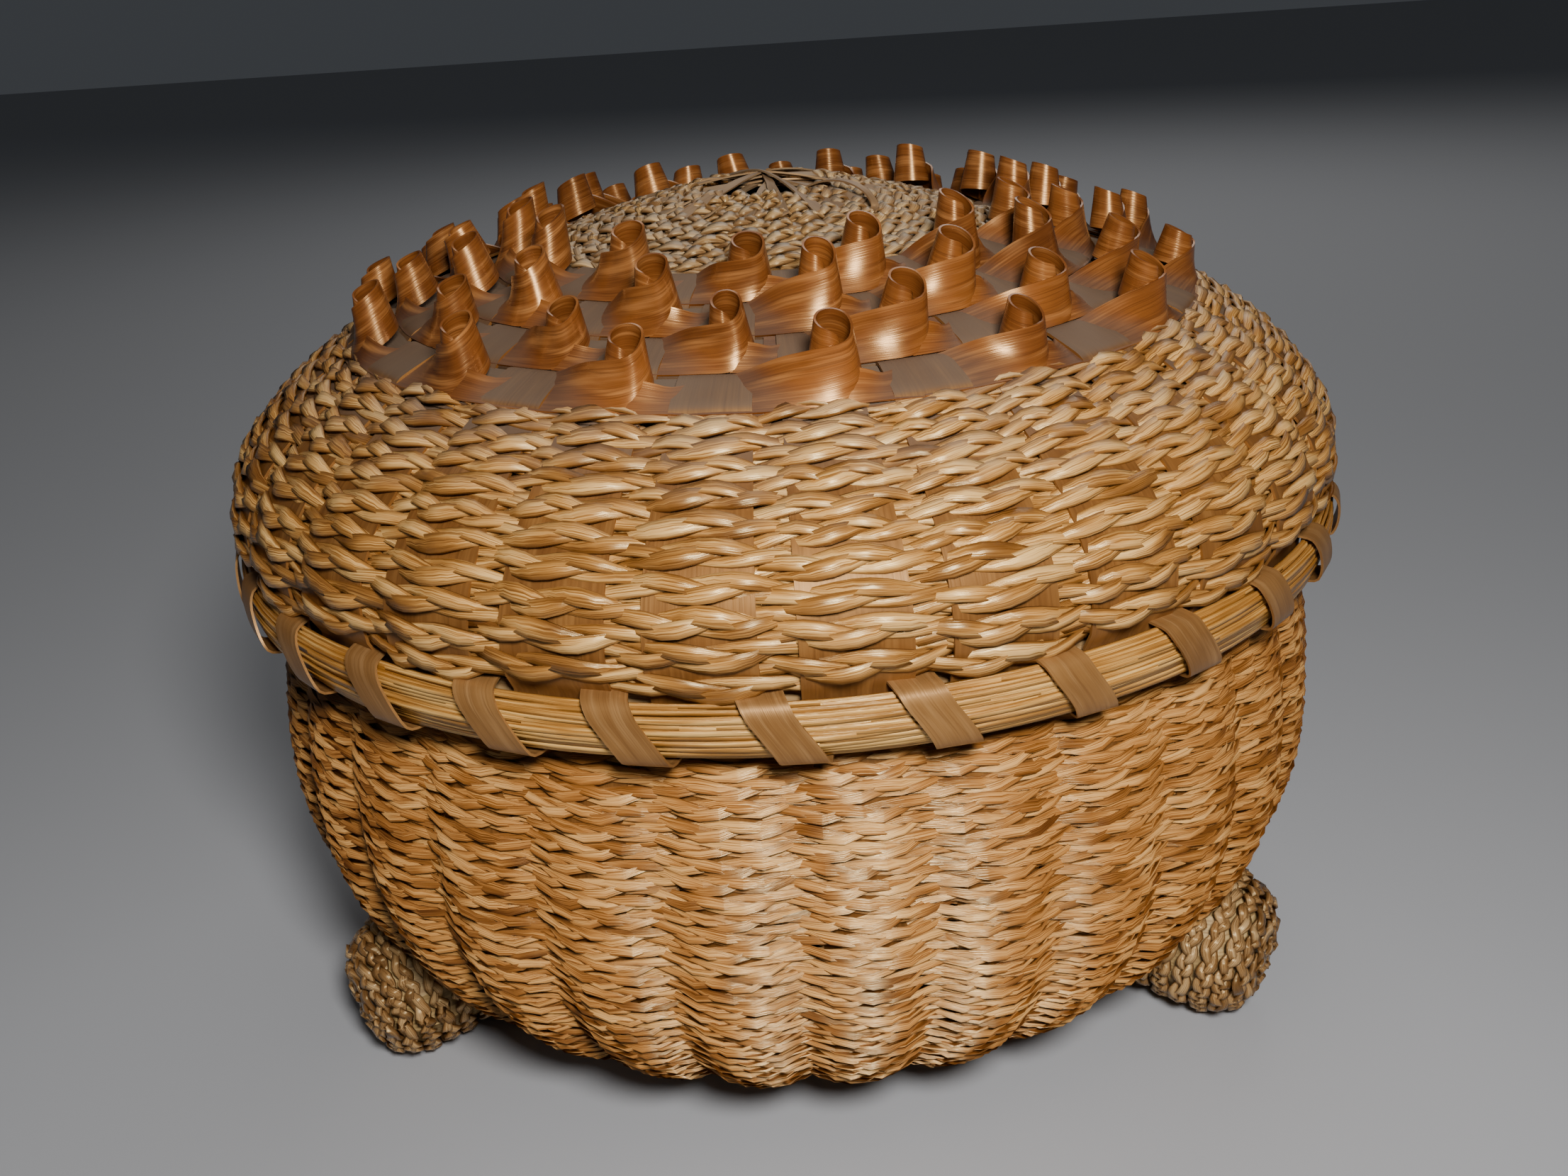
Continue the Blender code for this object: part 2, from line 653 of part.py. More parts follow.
def curl(outline):
    """One strip that lifts off the flat row with this outline and rolls up, at the +X side."""
    outer = 0.5 * (Vector(outline[0]) + Vector(outline[3]))
    inner = 0.5 * (Vector(outline[1]) + Vector(outline[2]))
    middle = 0.5 * (outer + inner)
    slope = (inner.y - outer.y) / (outer.x - inner.x)
    free = 2.0 * math.pi * middle.x / CURLS - 2.0 * CURL_RADIUS
    lift_length = (-1.0 - CURL_LOWER[0][0]) * CURL_RADIUS
    squeeze = min(1.0, CURL_ROOM_SHARE * free / lift_length)

    def place(station):
        along, inward, up = station
        beyond = min(along + 1.0, 0.0)
        angle = (along - beyond * (1.0 - squeeze)) * CURL_RADIUS / middle.x
        radius = middle.x - inward * CURL_RADIUS
        height = middle.y + slope * (middle.x - radius) + up * CURL_HEIGHT
        return Vector((radius * math.cos(angle), radius * math.sin(angle), height))

    edges = [(place(low), place(high)) for low, high in zip(CURL_LOWER, CURL_UPPER)]
    sections = []
    for i, (low, high) in enumerate(edges):
        before = edges[max(i - 1, 0)]
        after = edges[min(i + 1, len(edges) - 1)]
        way = (after[0] + after[1]) - (before[0] + before[1])
        thickness = SPLINT_THICKNESS * (CURL_ROOT_SHARE if i == 0 else 1.0)
        half = 0.5 * thickness * (high - low).cross(way).normalized()
        sections.append([low + half, high + half, high - half, low - half])
    return sweep(bmesh.new(), sections)


def build_splint_rows():
    """Flat rows, each under a second splint that is wound up into a ring of curls."""
    for row in range(SPLINT_ROWS):
        curve = row_curve(row)
        flat_row = turned(splint_outline(curve, WEAVE_THICKNESS), PLATE_COLUMNS)
        add_object("lid_splint_row_{}".format(row + 1), flat_row, ASH_GREY)

        outline = splint_outline(curve, WEAVE_THICKNESS - SPLINT_THICKNESS - GAP)
        name = "lid_curled_row_{}".format(row + 1)
        strip = add_object(name, turned(outline, PLATE_COLUMNS), ASH_CURL)
        curls = copy_round(curl(outline), CURLS, STEP_ANGLE * ((row + 1) % 2))
        join(strip, make_guide(name + "_curls", curls, ASH_CURL))


def build_centre_strips():
    """Thin ends of stakes that cross over the crown, one above the other."""
    reach = CROWN_RADIUS + CENTRE_STRIP_OVERLAP
    half = 0.5 * CENTRE_STRIP_WIDTH
    pitch = CENTRE_STRIP_THICKNESS + GAP
    end = dome_point(reach)[1] + CENTRE_STRIP_ROOM
    edge = dome_point(CROWN_RADIUS)[1] + CENTRE_STRIP_ROOM
    for strip in range(CENTRE_STRIPS):
        peak = edge + PEAK_RISE - CENTRE_STRIP_ROOM - pitch * (CENTRE_STRIPS - strip)
        bend = edge + CENTRE_STRIP_BEND * (peak - edge)
        places = [(reach, end), (CROWN_RADIUS, edge), (0.5 * CROWN_RADIUS, bend)]
        whole = places + [(0.0, peak)] + [(-r, z) for r, z in reversed(places)]
        sections = []
        for x, z in whole:
            sections.append([
                Vector((x, -half, z)), Vector((x, half, z)),
                Vector((x, half, z + CENTRE_STRIP_THICKNESS)),
                Vector((x, -half, z + CENTRE_STRIP_THICKNESS)),
            ])
        bm = sweep(bmesh.new(), sections)
        turn = math.pi * strip / CENTRE_STRIPS
        bm.transform(Matrix.Rotation(turn, 4, "Z"))
        add_object("lid_centre_strip_{}".format(strip + 1), bm, ASH_GREY, smooth=False)


def main():
    clear_scene()
    wall = build_body()
    build_body_rim()
    build_feet(wall)
    build_lid_rim()
    build_lid_shell()
    build_splint_rows()
    build_centre_strips()


main()
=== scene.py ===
# %% [markdown]
# A lidded basket of ash splint and braided sweetgrass, on three short woven feet. A maker of such
# baskets works in rounds: stakes of split ash stand up all round, and grass braids pass in front
# of one stake and behind the next. This lesson works in rounds too. One function lays a braid
# round the basket, and the bowl, the lid and the feet all come from it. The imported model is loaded
# first, because every new piece has to sit where its plain solid sits.

import math

import bmesh
import bpy
import numpy as np
from mathutils import Matrix, Vector


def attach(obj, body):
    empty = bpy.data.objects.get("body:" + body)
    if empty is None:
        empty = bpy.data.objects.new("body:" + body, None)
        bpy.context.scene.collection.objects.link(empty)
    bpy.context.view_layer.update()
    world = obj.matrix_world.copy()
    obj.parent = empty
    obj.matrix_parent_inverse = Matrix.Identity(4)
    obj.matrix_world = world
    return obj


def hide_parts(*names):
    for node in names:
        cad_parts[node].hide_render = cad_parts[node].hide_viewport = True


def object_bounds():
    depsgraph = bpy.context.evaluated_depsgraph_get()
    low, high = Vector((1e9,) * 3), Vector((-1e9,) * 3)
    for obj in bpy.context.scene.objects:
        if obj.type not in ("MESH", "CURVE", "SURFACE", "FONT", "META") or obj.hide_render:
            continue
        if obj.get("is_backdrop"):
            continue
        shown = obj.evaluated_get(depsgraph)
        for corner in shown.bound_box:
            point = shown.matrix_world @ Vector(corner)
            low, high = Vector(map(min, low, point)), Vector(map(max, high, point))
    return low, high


MM = 0.001
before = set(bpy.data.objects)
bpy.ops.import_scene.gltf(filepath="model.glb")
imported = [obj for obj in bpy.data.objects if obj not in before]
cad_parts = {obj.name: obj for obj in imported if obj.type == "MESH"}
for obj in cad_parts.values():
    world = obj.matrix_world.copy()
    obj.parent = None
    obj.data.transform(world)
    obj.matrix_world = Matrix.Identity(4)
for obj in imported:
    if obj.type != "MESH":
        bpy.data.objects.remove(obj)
cad_low, cad_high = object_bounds()
print("plain model, mm:", [round(v / MM, 1) for v in cad_high - cad_low])

# %% [markdown]
# The camera comes next. It stands a hand's length in front of the basket and a little above it,
# tipped down by 23 degrees and turned clockwise by 4, as the photographer held it. Its axes are
# written out and put in a matrix, which is plainer than three angles whose order matters.

# %% Camera
CAMERA_PLACE = Vector((5.9, -275.5, 190.3)) * MM
CAMERA_LENS = 34.18
CAMERA_DOWN, CAMERA_LEFT, CAMERA_ROLL = (math.radians(a) for a in (23.4, 1.5, 3.89))
aim = Matrix.Rotation(CAMERA_LEFT, 3, "Z")
level_right = aim @ Vector((1, 0, 0))
forward = aim @ Vector((0, math.cos(CAMERA_DOWN), -math.sin(CAMERA_DOWN)))
level_up = level_right.cross(forward)
right = level_right * math.cos(CAMERA_ROLL) - level_up * math.sin(CAMERA_ROLL)
up = right.cross(forward)
camera_data = bpy.data.cameras.new("camera")
camera_data.lens = CAMERA_LENS
camera_data.sensor_width = 36.0
camera_data.sensor_fit = "HORIZONTAL"
camera_data.clip_start = 0.01
camera = bpy.data.objects.new("camera", camera_data)
camera_turn = Matrix((right, up, -forward)).transposed().to_4x4()
camera.matrix_world = Matrix.Translation(CAMERA_PLACE) @ camera_turn
bpy.context.scene.collection.objects.link(camera)
bpy.context.scene.camera = camera

# %% [markdown]
# Shader maths reads best as maths. A Wire is one output of a node, and an operator on it adds a
# Math node, so a mask can be written as 1 - dust. A Finish is one material under way: its method
# node() adds any kind of node, maths() does one sum, and blend() mixes two colours.


# %% Shader sums
class Wire:
    """One output of a shader node. Arithmetic on it adds Math nodes."""

    def __init__(self, finish, socket):
        self.finish = finish
        self.socket = socket

    def __add__(self, other):
        return self.finish.maths("ADD", self, other)

    def __sub__(self, other):
        return self.finish.maths("SUBTRACT", self, other)

    def __rsub__(self, other):
        return self.finish.maths("SUBTRACT", other, self)

    def __mul__(self, other):
        return self.finish.maths("MULTIPLY", self, other)

    __radd__ = __add__
    __rmul__ = __mul__

    def ramp(self, low, high):
        """0 below low, 1 above high and a soft rise between."""
        settings = {"interpolation_type": "SMOOTHSTEP"}
        return self.finish.node("ShaderNodeMapRange", settings, {0: self, 1: low, 2: high})


class Finish:
    """A material under way, with its shader."""

    def __init__(self, name, **constants):
        self.material = bpy.data.materials.new(name)
        self.material.use_nodes = True
        self.tree = self.material.node_tree
        self.shader = self.tree.nodes["Principled BSDF"]
        for socket, value in constants.items():
            self.shader.inputs[socket.replace("_", " ")].default_value = value

    def node(self, kind, settings, inputs, output=0):
        made = self.tree.nodes.new(kind)
        for key, value in settings.items():
            setattr(made, key, value)
        for key, value in inputs.items():
            if isinstance(value, Wire):
                self.tree.links.new(value.socket, made.inputs[key])
            else:
                made.inputs[key].default_value = value
        return Wire(self, made.outputs[output])

    def maths(self, operation, *terms):
        return self.node("ShaderNodeMath", {"operation": operation}, dict(enumerate(terms)))

    def blend(self, share, first, second):
        """The first colour where share is 0, the second where it is 1."""
        return self.node("ShaderNodeMix", {"data_type": "RGBA"}, {0: share, 6: first, 7: second}, 2)

    def feed(self, socket, wire):
        self.tree.links.new(wire.socket, self.shader.inputs[socket])

    def stretched(self, vector, scale):
        return self.node(
            "ShaderNodeVectorMath", {"operation": "MULTIPLY"}, {0: vector, 1: scale},
        )

    def noise(self, vector, scale, detail=2.0):
        return self.node(
            "ShaderNodeTexNoise", {}, {"Vector": vector, "Scale": scale, "Detail": detail},
        )

    def bump(self, height, strength, distance):
        wire = self.node(
            "ShaderNodeBump", {}, {"Height": height, "Strength": strength, "Distance": distance},
        )
        self.feed("Normal", wire)


# %% [markdown]
# Sweetgrass dries to a golden straw with a waxy shine along its blades. Each strand of a braid
# carries a UV map made for this: U counts centimetres along the strand, and V goes once round it,
# plus a whole number that differs from strand to strand. Noise pulled out along U then reads as
# fibres, and noise on the whole number makes each strand its own tone. V also darkens the strand
# where it turns away from its outer face, as painted shade that draws the thin dark line between
# neighbours. The light tone leans a little towards the outer face too, as painted sheen. Dust
# settles on what faces up, near the top of the lid.

# %% Grass finish
GRASS_SHINE, GRASS_DUST = (1.0, 0.78, 0.42, 1.0), (0.25, 0.19, 0.14, 1.0)
GRASS_DUST_FROM, GRASS_DUST_FULL = 0.116, 0.134
GRASS_GLOSS = 0.27


def grass(name, dark, middle, light, dust=0.0):
    """Sweetgrass in three tones, from fibre gaps and painted edge shade to partly painted sheen."""
    made = Finish(name, Roughness=GRASS_GLOSS, Specular_IOR_Level=1.0, Specular_Tint=GRASS_SHINE)
    uv = made.node("ShaderNodeUVMap", {"uv_map": "Strand"}, {})
    place = made.node("ShaderNodeTexCoord", {}, {}, "Object")
    fibres = made.noise(made.stretched(uv, (0.35, 11.0, 1.0)), 3.0, 3.0)
    strand = made.noise(made.stretched(uv, (0.5, 1.3, 1.0)), 1.0, 1.0)
    patch = made.noise(place, 110.0, 2.0)
    turn = made.node("ShaderNodeSeparateXYZ", {}, {0: uv}, 1) * math.tau
    outward = made.maths("COSINE", turn)
    body = strand * 0.9 + patch * 0.2 + fibres * 0.3 - 0.1
    # Painted sheen in part: the light tone's mask is random tone, leaning to the strand's outer
    # face.
    tone_and_painted_sheen = fibres * 0.6 + patch * 0.2 + strand * 0.6 + outward * 0.1
    colour = made.blend(body.ramp(0.3, 0.66), dark, middle)
    colour = made.blend(tone_and_painted_sheen.ramp(0.72, 0.98), colour, light)
    colour = made.blend(fibres.ramp(0.34, 0.5) * 0.6 + 0.4, dark, colour)
    # Painted shade: darker where the strand turns away from its outer face, between neighbours.
    colour = made.blend(outward.ramp(0.4, 0.9) * 0.7 + 0.3, dark, colour)
    rough = fibres * 0.3 + (GRASS_GLOSS - 0.12)
    if dust:
        facing = made.node("ShaderNodeNewGeometry", {}, {}, "Normal")
        level = made.node("ShaderNodeSeparateXYZ", {}, {0: facing}, 2).ramp(0.1, 0.9)
        height = made.node("ShaderNodeSeparateXYZ", {}, {0: place}, 2)
        high = height.ramp(GRASS_DUST_FROM, GRASS_DUST_FULL)
        settled = level * high * patch.ramp(0.3, 0.6) * dust
        colour = made.blend(settled, colour, GRASS_DUST)
        rough = settled * 0.35 + rough
    made.feed("Base Color", colour)
    made.feed("Roughness", rough)
    made.bump(fibres, 0.4, 0.2 * MM)
    return made.material


BOWL_GRASS = grass(
    "bowl sweetgrass", (0.09, 0.025, 0.004, 1), (0.42, 0.16, 0.032, 1), (0.74, 0.39, 0.12, 1),
)
LID_GRASS = grass(
    "lid sweetgrass", (0.11, 0.036, 0.006, 1), (0.46, 0.2, 0.042, 1), (0.76, 0.45, 0.15, 1),
    dust=0.45,
)
CROWN_GRASS = grass(
    "crown sweetgrass", (0.12, 0.055, 0.02, 1), (0.38, 0.2, 0.065, 1), (0.66, 0.42, 0.17, 1),
    dust=0.6,
)
RIM_GRASS = grass(
    "rim sweetgrass", (0.22, 0.085, 0.013, 1), (0.5, 0.22, 0.042, 1), (0.8, 0.47, 0.14, 1),
)
FOOT_GRASS = grass(
    "foot sweetgrass", (0.09, 0.035, 0.008, 1), (0.34, 0.17, 0.055, 1), (0.57, 0.36, 0.16, 1),
)

# %% [markdown]
# A round is easiest to think of on the wall's own outline. The outline is turned into a path that
# can be asked for a place at any distance along it: a radius, a height and the direction that
# faces out. A quarter of an ellipse, a slow curve and a short neck make the bowl. The lid has a
# rounded side up to its shoulder, and from there a low dome rises to the crown.


# %% Outlines to weave on
class Outline:
    """A turned wall's outer line, measured by the distance along it."""

    def __init__(self, points):
        self.points = np.array(points, float)
        steps = np.linalg.norm(np.diff(self.points, axis=0), axis=1)
        self.marks = np.concatenate([[0.0], np.cumsum(steps)])
        self.length = self.marks[-1]

    def place(self, distance):
        """The radius and height there, with the directions out of the wall and along it."""
        def at(mark):
            return np.array([np.interp(mark, self.marks, self.points[:, i]) for i in (0, 1)])

        way = at(min(distance + 0.001, self.length)) - at(max(distance - 0.001, 0.0))
        way /= np.linalg.norm(way)
        return at(distance), np.array([way[1], -way[0]]), way


BASE_RADIUS, BELLY_RADIUS, SEAT_RADIUS, NECK_RADIUS = 0.053, 0.0995, 0.0942, 0.0912
BASE_HEIGHT, BELLY_HEIGHT, SEAT_HEIGHT, RIM_HEIGHT = 0.0045, 0.058, 0.0886, 0.0974
NECK_TUCK = 0.0026  # height in which the wall draws in from the seat to the neck
bowl_points = []
for turn in np.linspace(0.0, math.pi / 2, 24):
    bowl_points.append((
        BASE_RADIUS + (BELLY_RADIUS - BASE_RADIUS) * math.sin(turn),
        BELLY_HEIGHT - (BELLY_HEIGHT - BASE_HEIGHT) * math.cos(turn),
    ))
for share in np.linspace(0.1, 1.0, 10):
    height = BELLY_HEIGHT + share * (SEAT_HEIGHT - BELLY_HEIGHT)
    bowl_points.append((BELLY_RADIUS - (BELLY_RADIUS - SEAT_RADIUS) * share ** 2, height))
bowl_points += [(NECK_RADIUS, SEAT_HEIGHT + NECK_TUCK), (NECK_RADIUS, RIM_HEIGHT)]
bowl = Outline(bowl_points)


def bezier(points, t):
    """The place at t, from 0 to 1, on the curve with these two ends and two handles."""
    a, b, c, d = (np.array(p) for p in points)
    s = 1.0 - t
    return s ** 3 * a + 3 * s * s * t * b + 3 * s * t * t * c + t ** 3 * d


SIDE_BOTTOM, SIDE_RADIUS, DOME_RADIUS, DOME_HEIGHT = 0.09835, 0.1005, 0.0775, 0.13095
CROWN_RADIUS, CROWN_RISE, DOME_SWELL = 0.018, 0.019, 0.0032
LID_SLOPE = CROWN_RISE / (DOME_RADIUS - CROWN_RADIUS)
LID_TOP = DOME_HEIGHT + LID_SLOPE * DOME_RADIUS
# Two handles pull the lid's side out into its curve. Its end is tucked in over the dome.
SIDE_HANDLES = (SIDE_RADIUS + 0.0035, SIDE_BOTTOM + 0.014), (0.094, SIDE_BOTTOM + 0.0226)
SIDE_END = (DOME_RADIUS - 0.0018, DOME_HEIGHT + 0.0006)
side_curve = [(SIDE_RADIUS, SIDE_BOTTOM), *SIDE_HANDLES, (DOME_RADIUS, DOME_HEIGHT)]
lid_side = Outline([bezier(side_curve, t) for t in np.linspace(0.0, 1.0, 30)] + [SIDE_END])


def dome_height(radius):
    """Height of the lid's upper face between its shoulder and its crown."""
    share = (DOME_RADIUS - radius) / (DOME_RADIUS - CROWN_RADIUS)
    return DOME_HEIGHT + CROWN_RISE * share + DOME_SWELL * share * (1.0 - share)


print("bowl wall", round(bowl.length / MM, 1), "mm; lid side", round(lid_side.length / MM, 1), "mm")

# %% [markdown]
# A strand is a long thin ring. Its form is made once with an operator: a small circle spun right
# round into a ring of tubes. A whole wall of strands is then many copies of that form in one mesh,
# and only the points' places differ. A point knows from the plain form which section and which
# side it belongs to, so its place on the basket can be worked out for all points at once.

# %% One strand's form, and many strands in a mesh
STRAND_SIDES = 6
STRAND_SHIFT = 1.7  # centimetres that the grain is moved on from one strand to the next


class StrandForm:
    """A closed ring of tube, made once and placed many times."""

    def __init__(self, sections, sides=STRAND_SIDES):
        bm = bmesh.new()
        turn = Matrix.Translation((1.0, 0.0, 0.0)) @ Matrix.Rotation(math.pi / 2, 4, "X")
        bmesh.ops.create_circle(bm, segments=sides, radius=0.1, matrix=turn)
        bmesh.ops.spin(
            bm, geom=bm.verts[:] + bm.edges[:], cent=(0, 0, 0), axis=(0, 0, 1),
            angle=math.tau, steps=sections, use_merge=True,
        )
        bmesh.ops.recalc_face_normals(bm, faces=bm.faces[:])
        bm.verts.index_update()
        bm.faces.sort(key=self.point_order)
        self.mesh = bpy.data.meshes.new("strand form")
        bm.to_mesh(self.mesh)
        bm.free()
        co = np.array([v.co for v in self.mesh.vertices])
        out = np.hypot(co[:, 0], co[:, 1]) - 1.0
        self.section = self.step_of(np.arctan2(co[:, 1], co[:, 0]), sections)
        self.side = self.step_of(np.arctan2(co[:, 2], out), sides)
        self.sections, self.sides = sections, sides
        corners = np.array([[v for v in p.vertices] for p in self.mesh.polygons])
        self.corner_uv = np.stack([
            self.unwrapped(self.section[corners], sections),
            self.unwrapped(self.side[corners], sides) / sides,
        ], axis=-1).reshape(-1, 2)

    @staticmethod
    def point_order(face):
        """A number that sorts faces by their points. Spin leaves them in a chance order."""
        numbers = [vert.index for vert in face.verts]
        return min(numbers) + max(numbers) / 1e6

    @staticmethod
    def step_of(angles, count):
        """The whole number of steps, count to a turn, that lies nearest each angle."""
        return np.round(angles % math.tau * count / math.tau).astype(int) % count

    @staticmethod
    def unwrapped(index, count):
        """Corner numbers of each face, with those past the ring's seam counted on."""
        past = (index.max(axis=1, keepdims=True) - index) > count / 2
        return index + past * count


def strands(name, form, places, centimetres, material, first=0):
    """One object from a list of (sections, sides, 3) arrays of places.

    Each strand's grain is centimetres long. The strands are numbered on from first, so that two
    pieces don't show the same tones.
    """
    bm = bmesh.new()
    for _ in places:
        bm.from_mesh(form.mesh)
    mesh = bpy.data.meshes.new(name)
    bm.to_mesh(mesh)
    bm.free()
    spots = np.concatenate([place[form.section, form.side] for place in places])
    mesh.vertices.foreach_set("co", spots.astype(np.float32).ravel())
    uv = mesh.uv_layers.new(name="Strand")
    step = centimetres / form.sections
    marks = [
        form.corner_uv * (step, 1.0) + (STRAND_SHIFT * i, i + first) for i in range(len(places))
    ]
    uv.data.foreach_set("uv", np.concatenate(marks).astype(np.float32).ravel())
    mesh.shade_smooth()
    mesh.update()
    made = bpy.data.objects.new(name, mesh)
    mesh.materials.append(material)
    bpy.context.scene.collection.objects.link(made)
    triangles = sum(len(p.vertices) - 2 for p in mesh.polygons)
    print(name, len(places), "strands,", triangles, "triangles")
    return made


# %% [markdown]
# Now the braid itself. Three strands change places from edge to edge: each one's sideways place is
# a cosine, and its depth is a sine twice as fast, so it passes over the middle and then under it.
# The whole braid rides out over one stake and in behind the next. Between stakes it is pinched,
# which gives each float its leaf shape, and a strand draws in as it dives under the others. Every
# round differs a little from the last, from random numbers with a fixed seed, because grass is
# never even.

# %% Rounds of braid
STAKES = 30
STEP = math.tau / STAKES
FLATNESS = 1.6  # how flat a float lies over its stake before it turns in behind the next
CREST_POWER = 0.7
PLAIT_DRIFT, STRAND_SWELL = 0.9, 0.16
MEAN_TALL, TALL_TAPER, MEAN_THICK, THICK_TAPER = 0.76, 0.32, 0.9, 0.1
chance = np.random.default_rng(7)


def ripple(angles, waves, size):
    """A smooth random wander that closes on itself after a full turn."""
    wander = np.zeros_like(angles)
    for wave in waves:
        wander += np.cos(wave * angles + chance.uniform(0.0, math.tau)) * size / len(waves)
    return wander


def over_under(cover):
    """1 over a stake and -1 behind one, from a cosine that goes with the stakes."""
    return np.tanh(FLATNESS * cover) / math.tanh(FLATNESS)


def turned_out(angles, flat, upright):
    """A direction of the outline, across and up, turned to each angle round the basket."""
    radial = np.stack([np.cos(angles), np.sin(angles)], axis=-1)
    return np.concatenate([radial * flat, np.full((len(angles), 1), upright)], axis=1)


def braid_round(form, spot, odd, braid):
    """Three strands of one round. The braid's sizes come in a dictionary, in metres.

    The braid runs at the depth inset below the outline. It swings by amplitude over one stake and
    in behind the next, of as many as stakes says. Between them it lies deeper by rib, higher by
    sag and narrower by the share pinch. It wanders along the wall by wander. Its strands change
    places periods times in a round, by spread from edge to edge and by depth over and under. A
    strand reaches tall and thick to each side of its middle, and dome bends the edges back.
    """
    (radius, height), out, way = spot
    angles = np.arange(form.sections) * math.tau / form.sections
    stakes = braid.get("stakes", STAKES)
    beat = angles * stakes / 2 + math.pi * odd
    cover = np.cos(beat)
    crest = np.abs(cover) ** CREST_POWER
    pinch = 1.0 - braid["pinch"] * (1.0 - crest)
    dip = braid["rib"] * (1.0 - crest)
    face = turned_out(angles, *out)[:, None]
    across = turned_out(angles, *way)[:, None]
    middle = turned_out(angles, radius, height)[:, None]
    start = chance.uniform(0.0, math.tau)
    plait = angles * braid["periods"] + start + ripple(angles, (3, 5, 8), PLAIT_DRIFT)
    lean = braid["sag"] * (0.5 - crest) + ripple(angles, (4, 7, 13), braid["wander"])
    lift = over_under(cover) * braid["amplitude"] - dip - braid["inset"]
    sides = np.arange(form.sides) * math.tau / form.sides
    made = []
    for strand in range(3):
        phase = plait + strand * math.tau / 3
        over = np.sin(2 * phase)
        size = 1.0 + ripple(angles, (6, 11, 17), STRAND_SWELL)
        tall = braid["tall"] * size * pinch * (MEAN_TALL + TALL_TAPER * over)
        thick = braid["thick"] * size * (MEAN_THICK + THICK_TAPER * over)
        offset = (braid["spread"] * np.cos(phase) * pinch)[:, None] + tall[:, None] * np.sin(sides)
        rise = (lift + braid["depth"] * over)[:, None] + thick[:, None] * np.cos(sides)
        rise = rise - braid["dome"] * offset ** 2
        sideways = offset + lean[:, None]
        made.append(middle + across * sideways[..., None] + face * rise[..., None])
    return made


# %% [markdown]
# The bowl's wall has about forty floats up each stake. Rounds alternate, one over the even stakes
# and the next over the odd ones, so twice as many rounds are laid. The stakes bow outwards between
# the rounds, which gives the wall its scalloped ribs. They are deepest at the belly and fade
# towards the rim. The wall is split into four pieces, bottom to top, to keep each mesh light.

# %% Bowl wall
ROUND_LENGTH = 62.0  # centimetres of braid in a round of wall, for the grain
BOWL_ROUNDS = 82
bowl_form = StrandForm(sections=7 * STAKES)
BOWL_BRAID = {
    "amplitude": 1.0 * MM, "rib": 2.2 * MM, "inset": 1.6 * MM, "pinch": 0.3, "periods": 23,
    "sag": 0.5 * MM, "wander": 0.2 * MM, "spread": 0.95 * MM, "depth": 0.54 * MM,
    "tall": 1.04 * MM, "thick": 0.5 * MM, "dome": 170.0,
}
NECK_BRAID = dict(BOWL_BRAID, amplitude=0.7 * MM, inset=1.3 * MM, thick=0.36 * MM)


def bowl_rib(height):
    """How deep the ribs are at this height, from 0 to 1 at the belly."""
    if height > BELLY_HEIGHT:
        return max(0.0, 1.0 - (height - BELLY_HEIGHT) / (SEAT_HEIGHT - BELLY_HEIGHT))
    return min(1.0, 0.35 + 0.65 * (height - BASE_HEIGHT) / (0.4 * BELLY_HEIGHT))


bowl_rounds = []
for i in range(BOWL_ROUNDS):
    spot = bowl.place((i + 0.5) * bowl.length / BOWL_ROUNDS)
    height = spot[0][1]
    braid = NECK_BRAID if height > SEAT_HEIGHT else BOWL_BRAID
    ribbed = dict(braid, rib=braid["rib"] * bowl_rib(height))
    bowl_rounds.append(braid_round(bowl_form, spot, i % 2, ribbed))

for part, name in enumerate(("foot", "belly", "shoulder", "neck")):
    chosen = bowl_rounds[part * BOWL_ROUNDS // 4:(part + 1) * BOWL_ROUNDS // 4]
    flat = [strand for braid in chosen for strand in braid]
    piece = strands(
        "bowl_braids_" + name, bowl_form, flat, ROUND_LENGTH, BOWL_GRASS, first=100 * part,
    )
    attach(piece, "basket")
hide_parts("body_weave")

# %% [markdown]
# The lid's side has the same weave in wider, flatter braids, ten floats up each stake. The rounds
# are spaced further apart near the rim, and there the wood of the stakes shows between them. The
# last round lies lower, tucked against the first flat row.

# %% Lid side
LID_ROUNDS, LOOSER_LOW = 20, 0.14
lid_form = StrandForm(sections=9 * STAKES)
LID_BRAID = {
    "amplitude": 1.0 * MM, "rib": 0.6 * MM, "inset": 1.6 * MM, "pinch": 0.34, "periods": 17,
    "sag": 0.2 * MM, "wander": 0.4 * MM, "spread": 1.25 * MM, "depth": 0.65 * MM,
    "tall": 1.4 * MM, "thick": 0.52 * MM, "dome": 110.0,
}
TOP_BRAID = dict(LID_BRAID, amplitude=0.5 * MM, inset=0.6 * MM)
for part, name in enumerate(("low", "high")):
    flat = []
    for i in range(part * LID_ROUNDS // 2, (part + 1) * LID_ROUNDS // 2):
        share = (i + 0.7) / LID_ROUNDS
        spread_out = (1.0 + LOOSER_LOW - LOOSER_LOW * share) * share
        spot = lid_side.place(spread_out * lid_side.length)
        braid = TOP_BRAID if i == LID_ROUNDS - 1 else LID_BRAID
        flat += braid_round(lid_form, spot, i % 2, braid)
    piece = strands(
        "lid_braids_" + name, lid_form, flat, ROUND_LENGTH, LID_GRASS, first=500 + 100 * part,
    )
    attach(piece, "lid")
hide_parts("lid_side_weave")

# %% [markdown]
# Everything else on the basket is split ash: thin flat strips. A strip is a grid of faces whose
# points are moved to where the strip runs, and a Solidify modifier gives it its thickness. Its UV
# map counts centimetres along and across, so the grain of the wood runs with the strip however it
# bends. Each strip's map is moved on a little, so that no two strips show the same grain.

# %% Strips of splint
GRAIN_SHIFT_ALONG, GRAIN_SHIFT_ACROSS, CRISP_ANGLE = 3.7, 1.3, math.radians(50)
ACROSS = (-1.0, -0.5, 0.0, 0.5, 1.0)  # the places across a strip, as shares of half its width


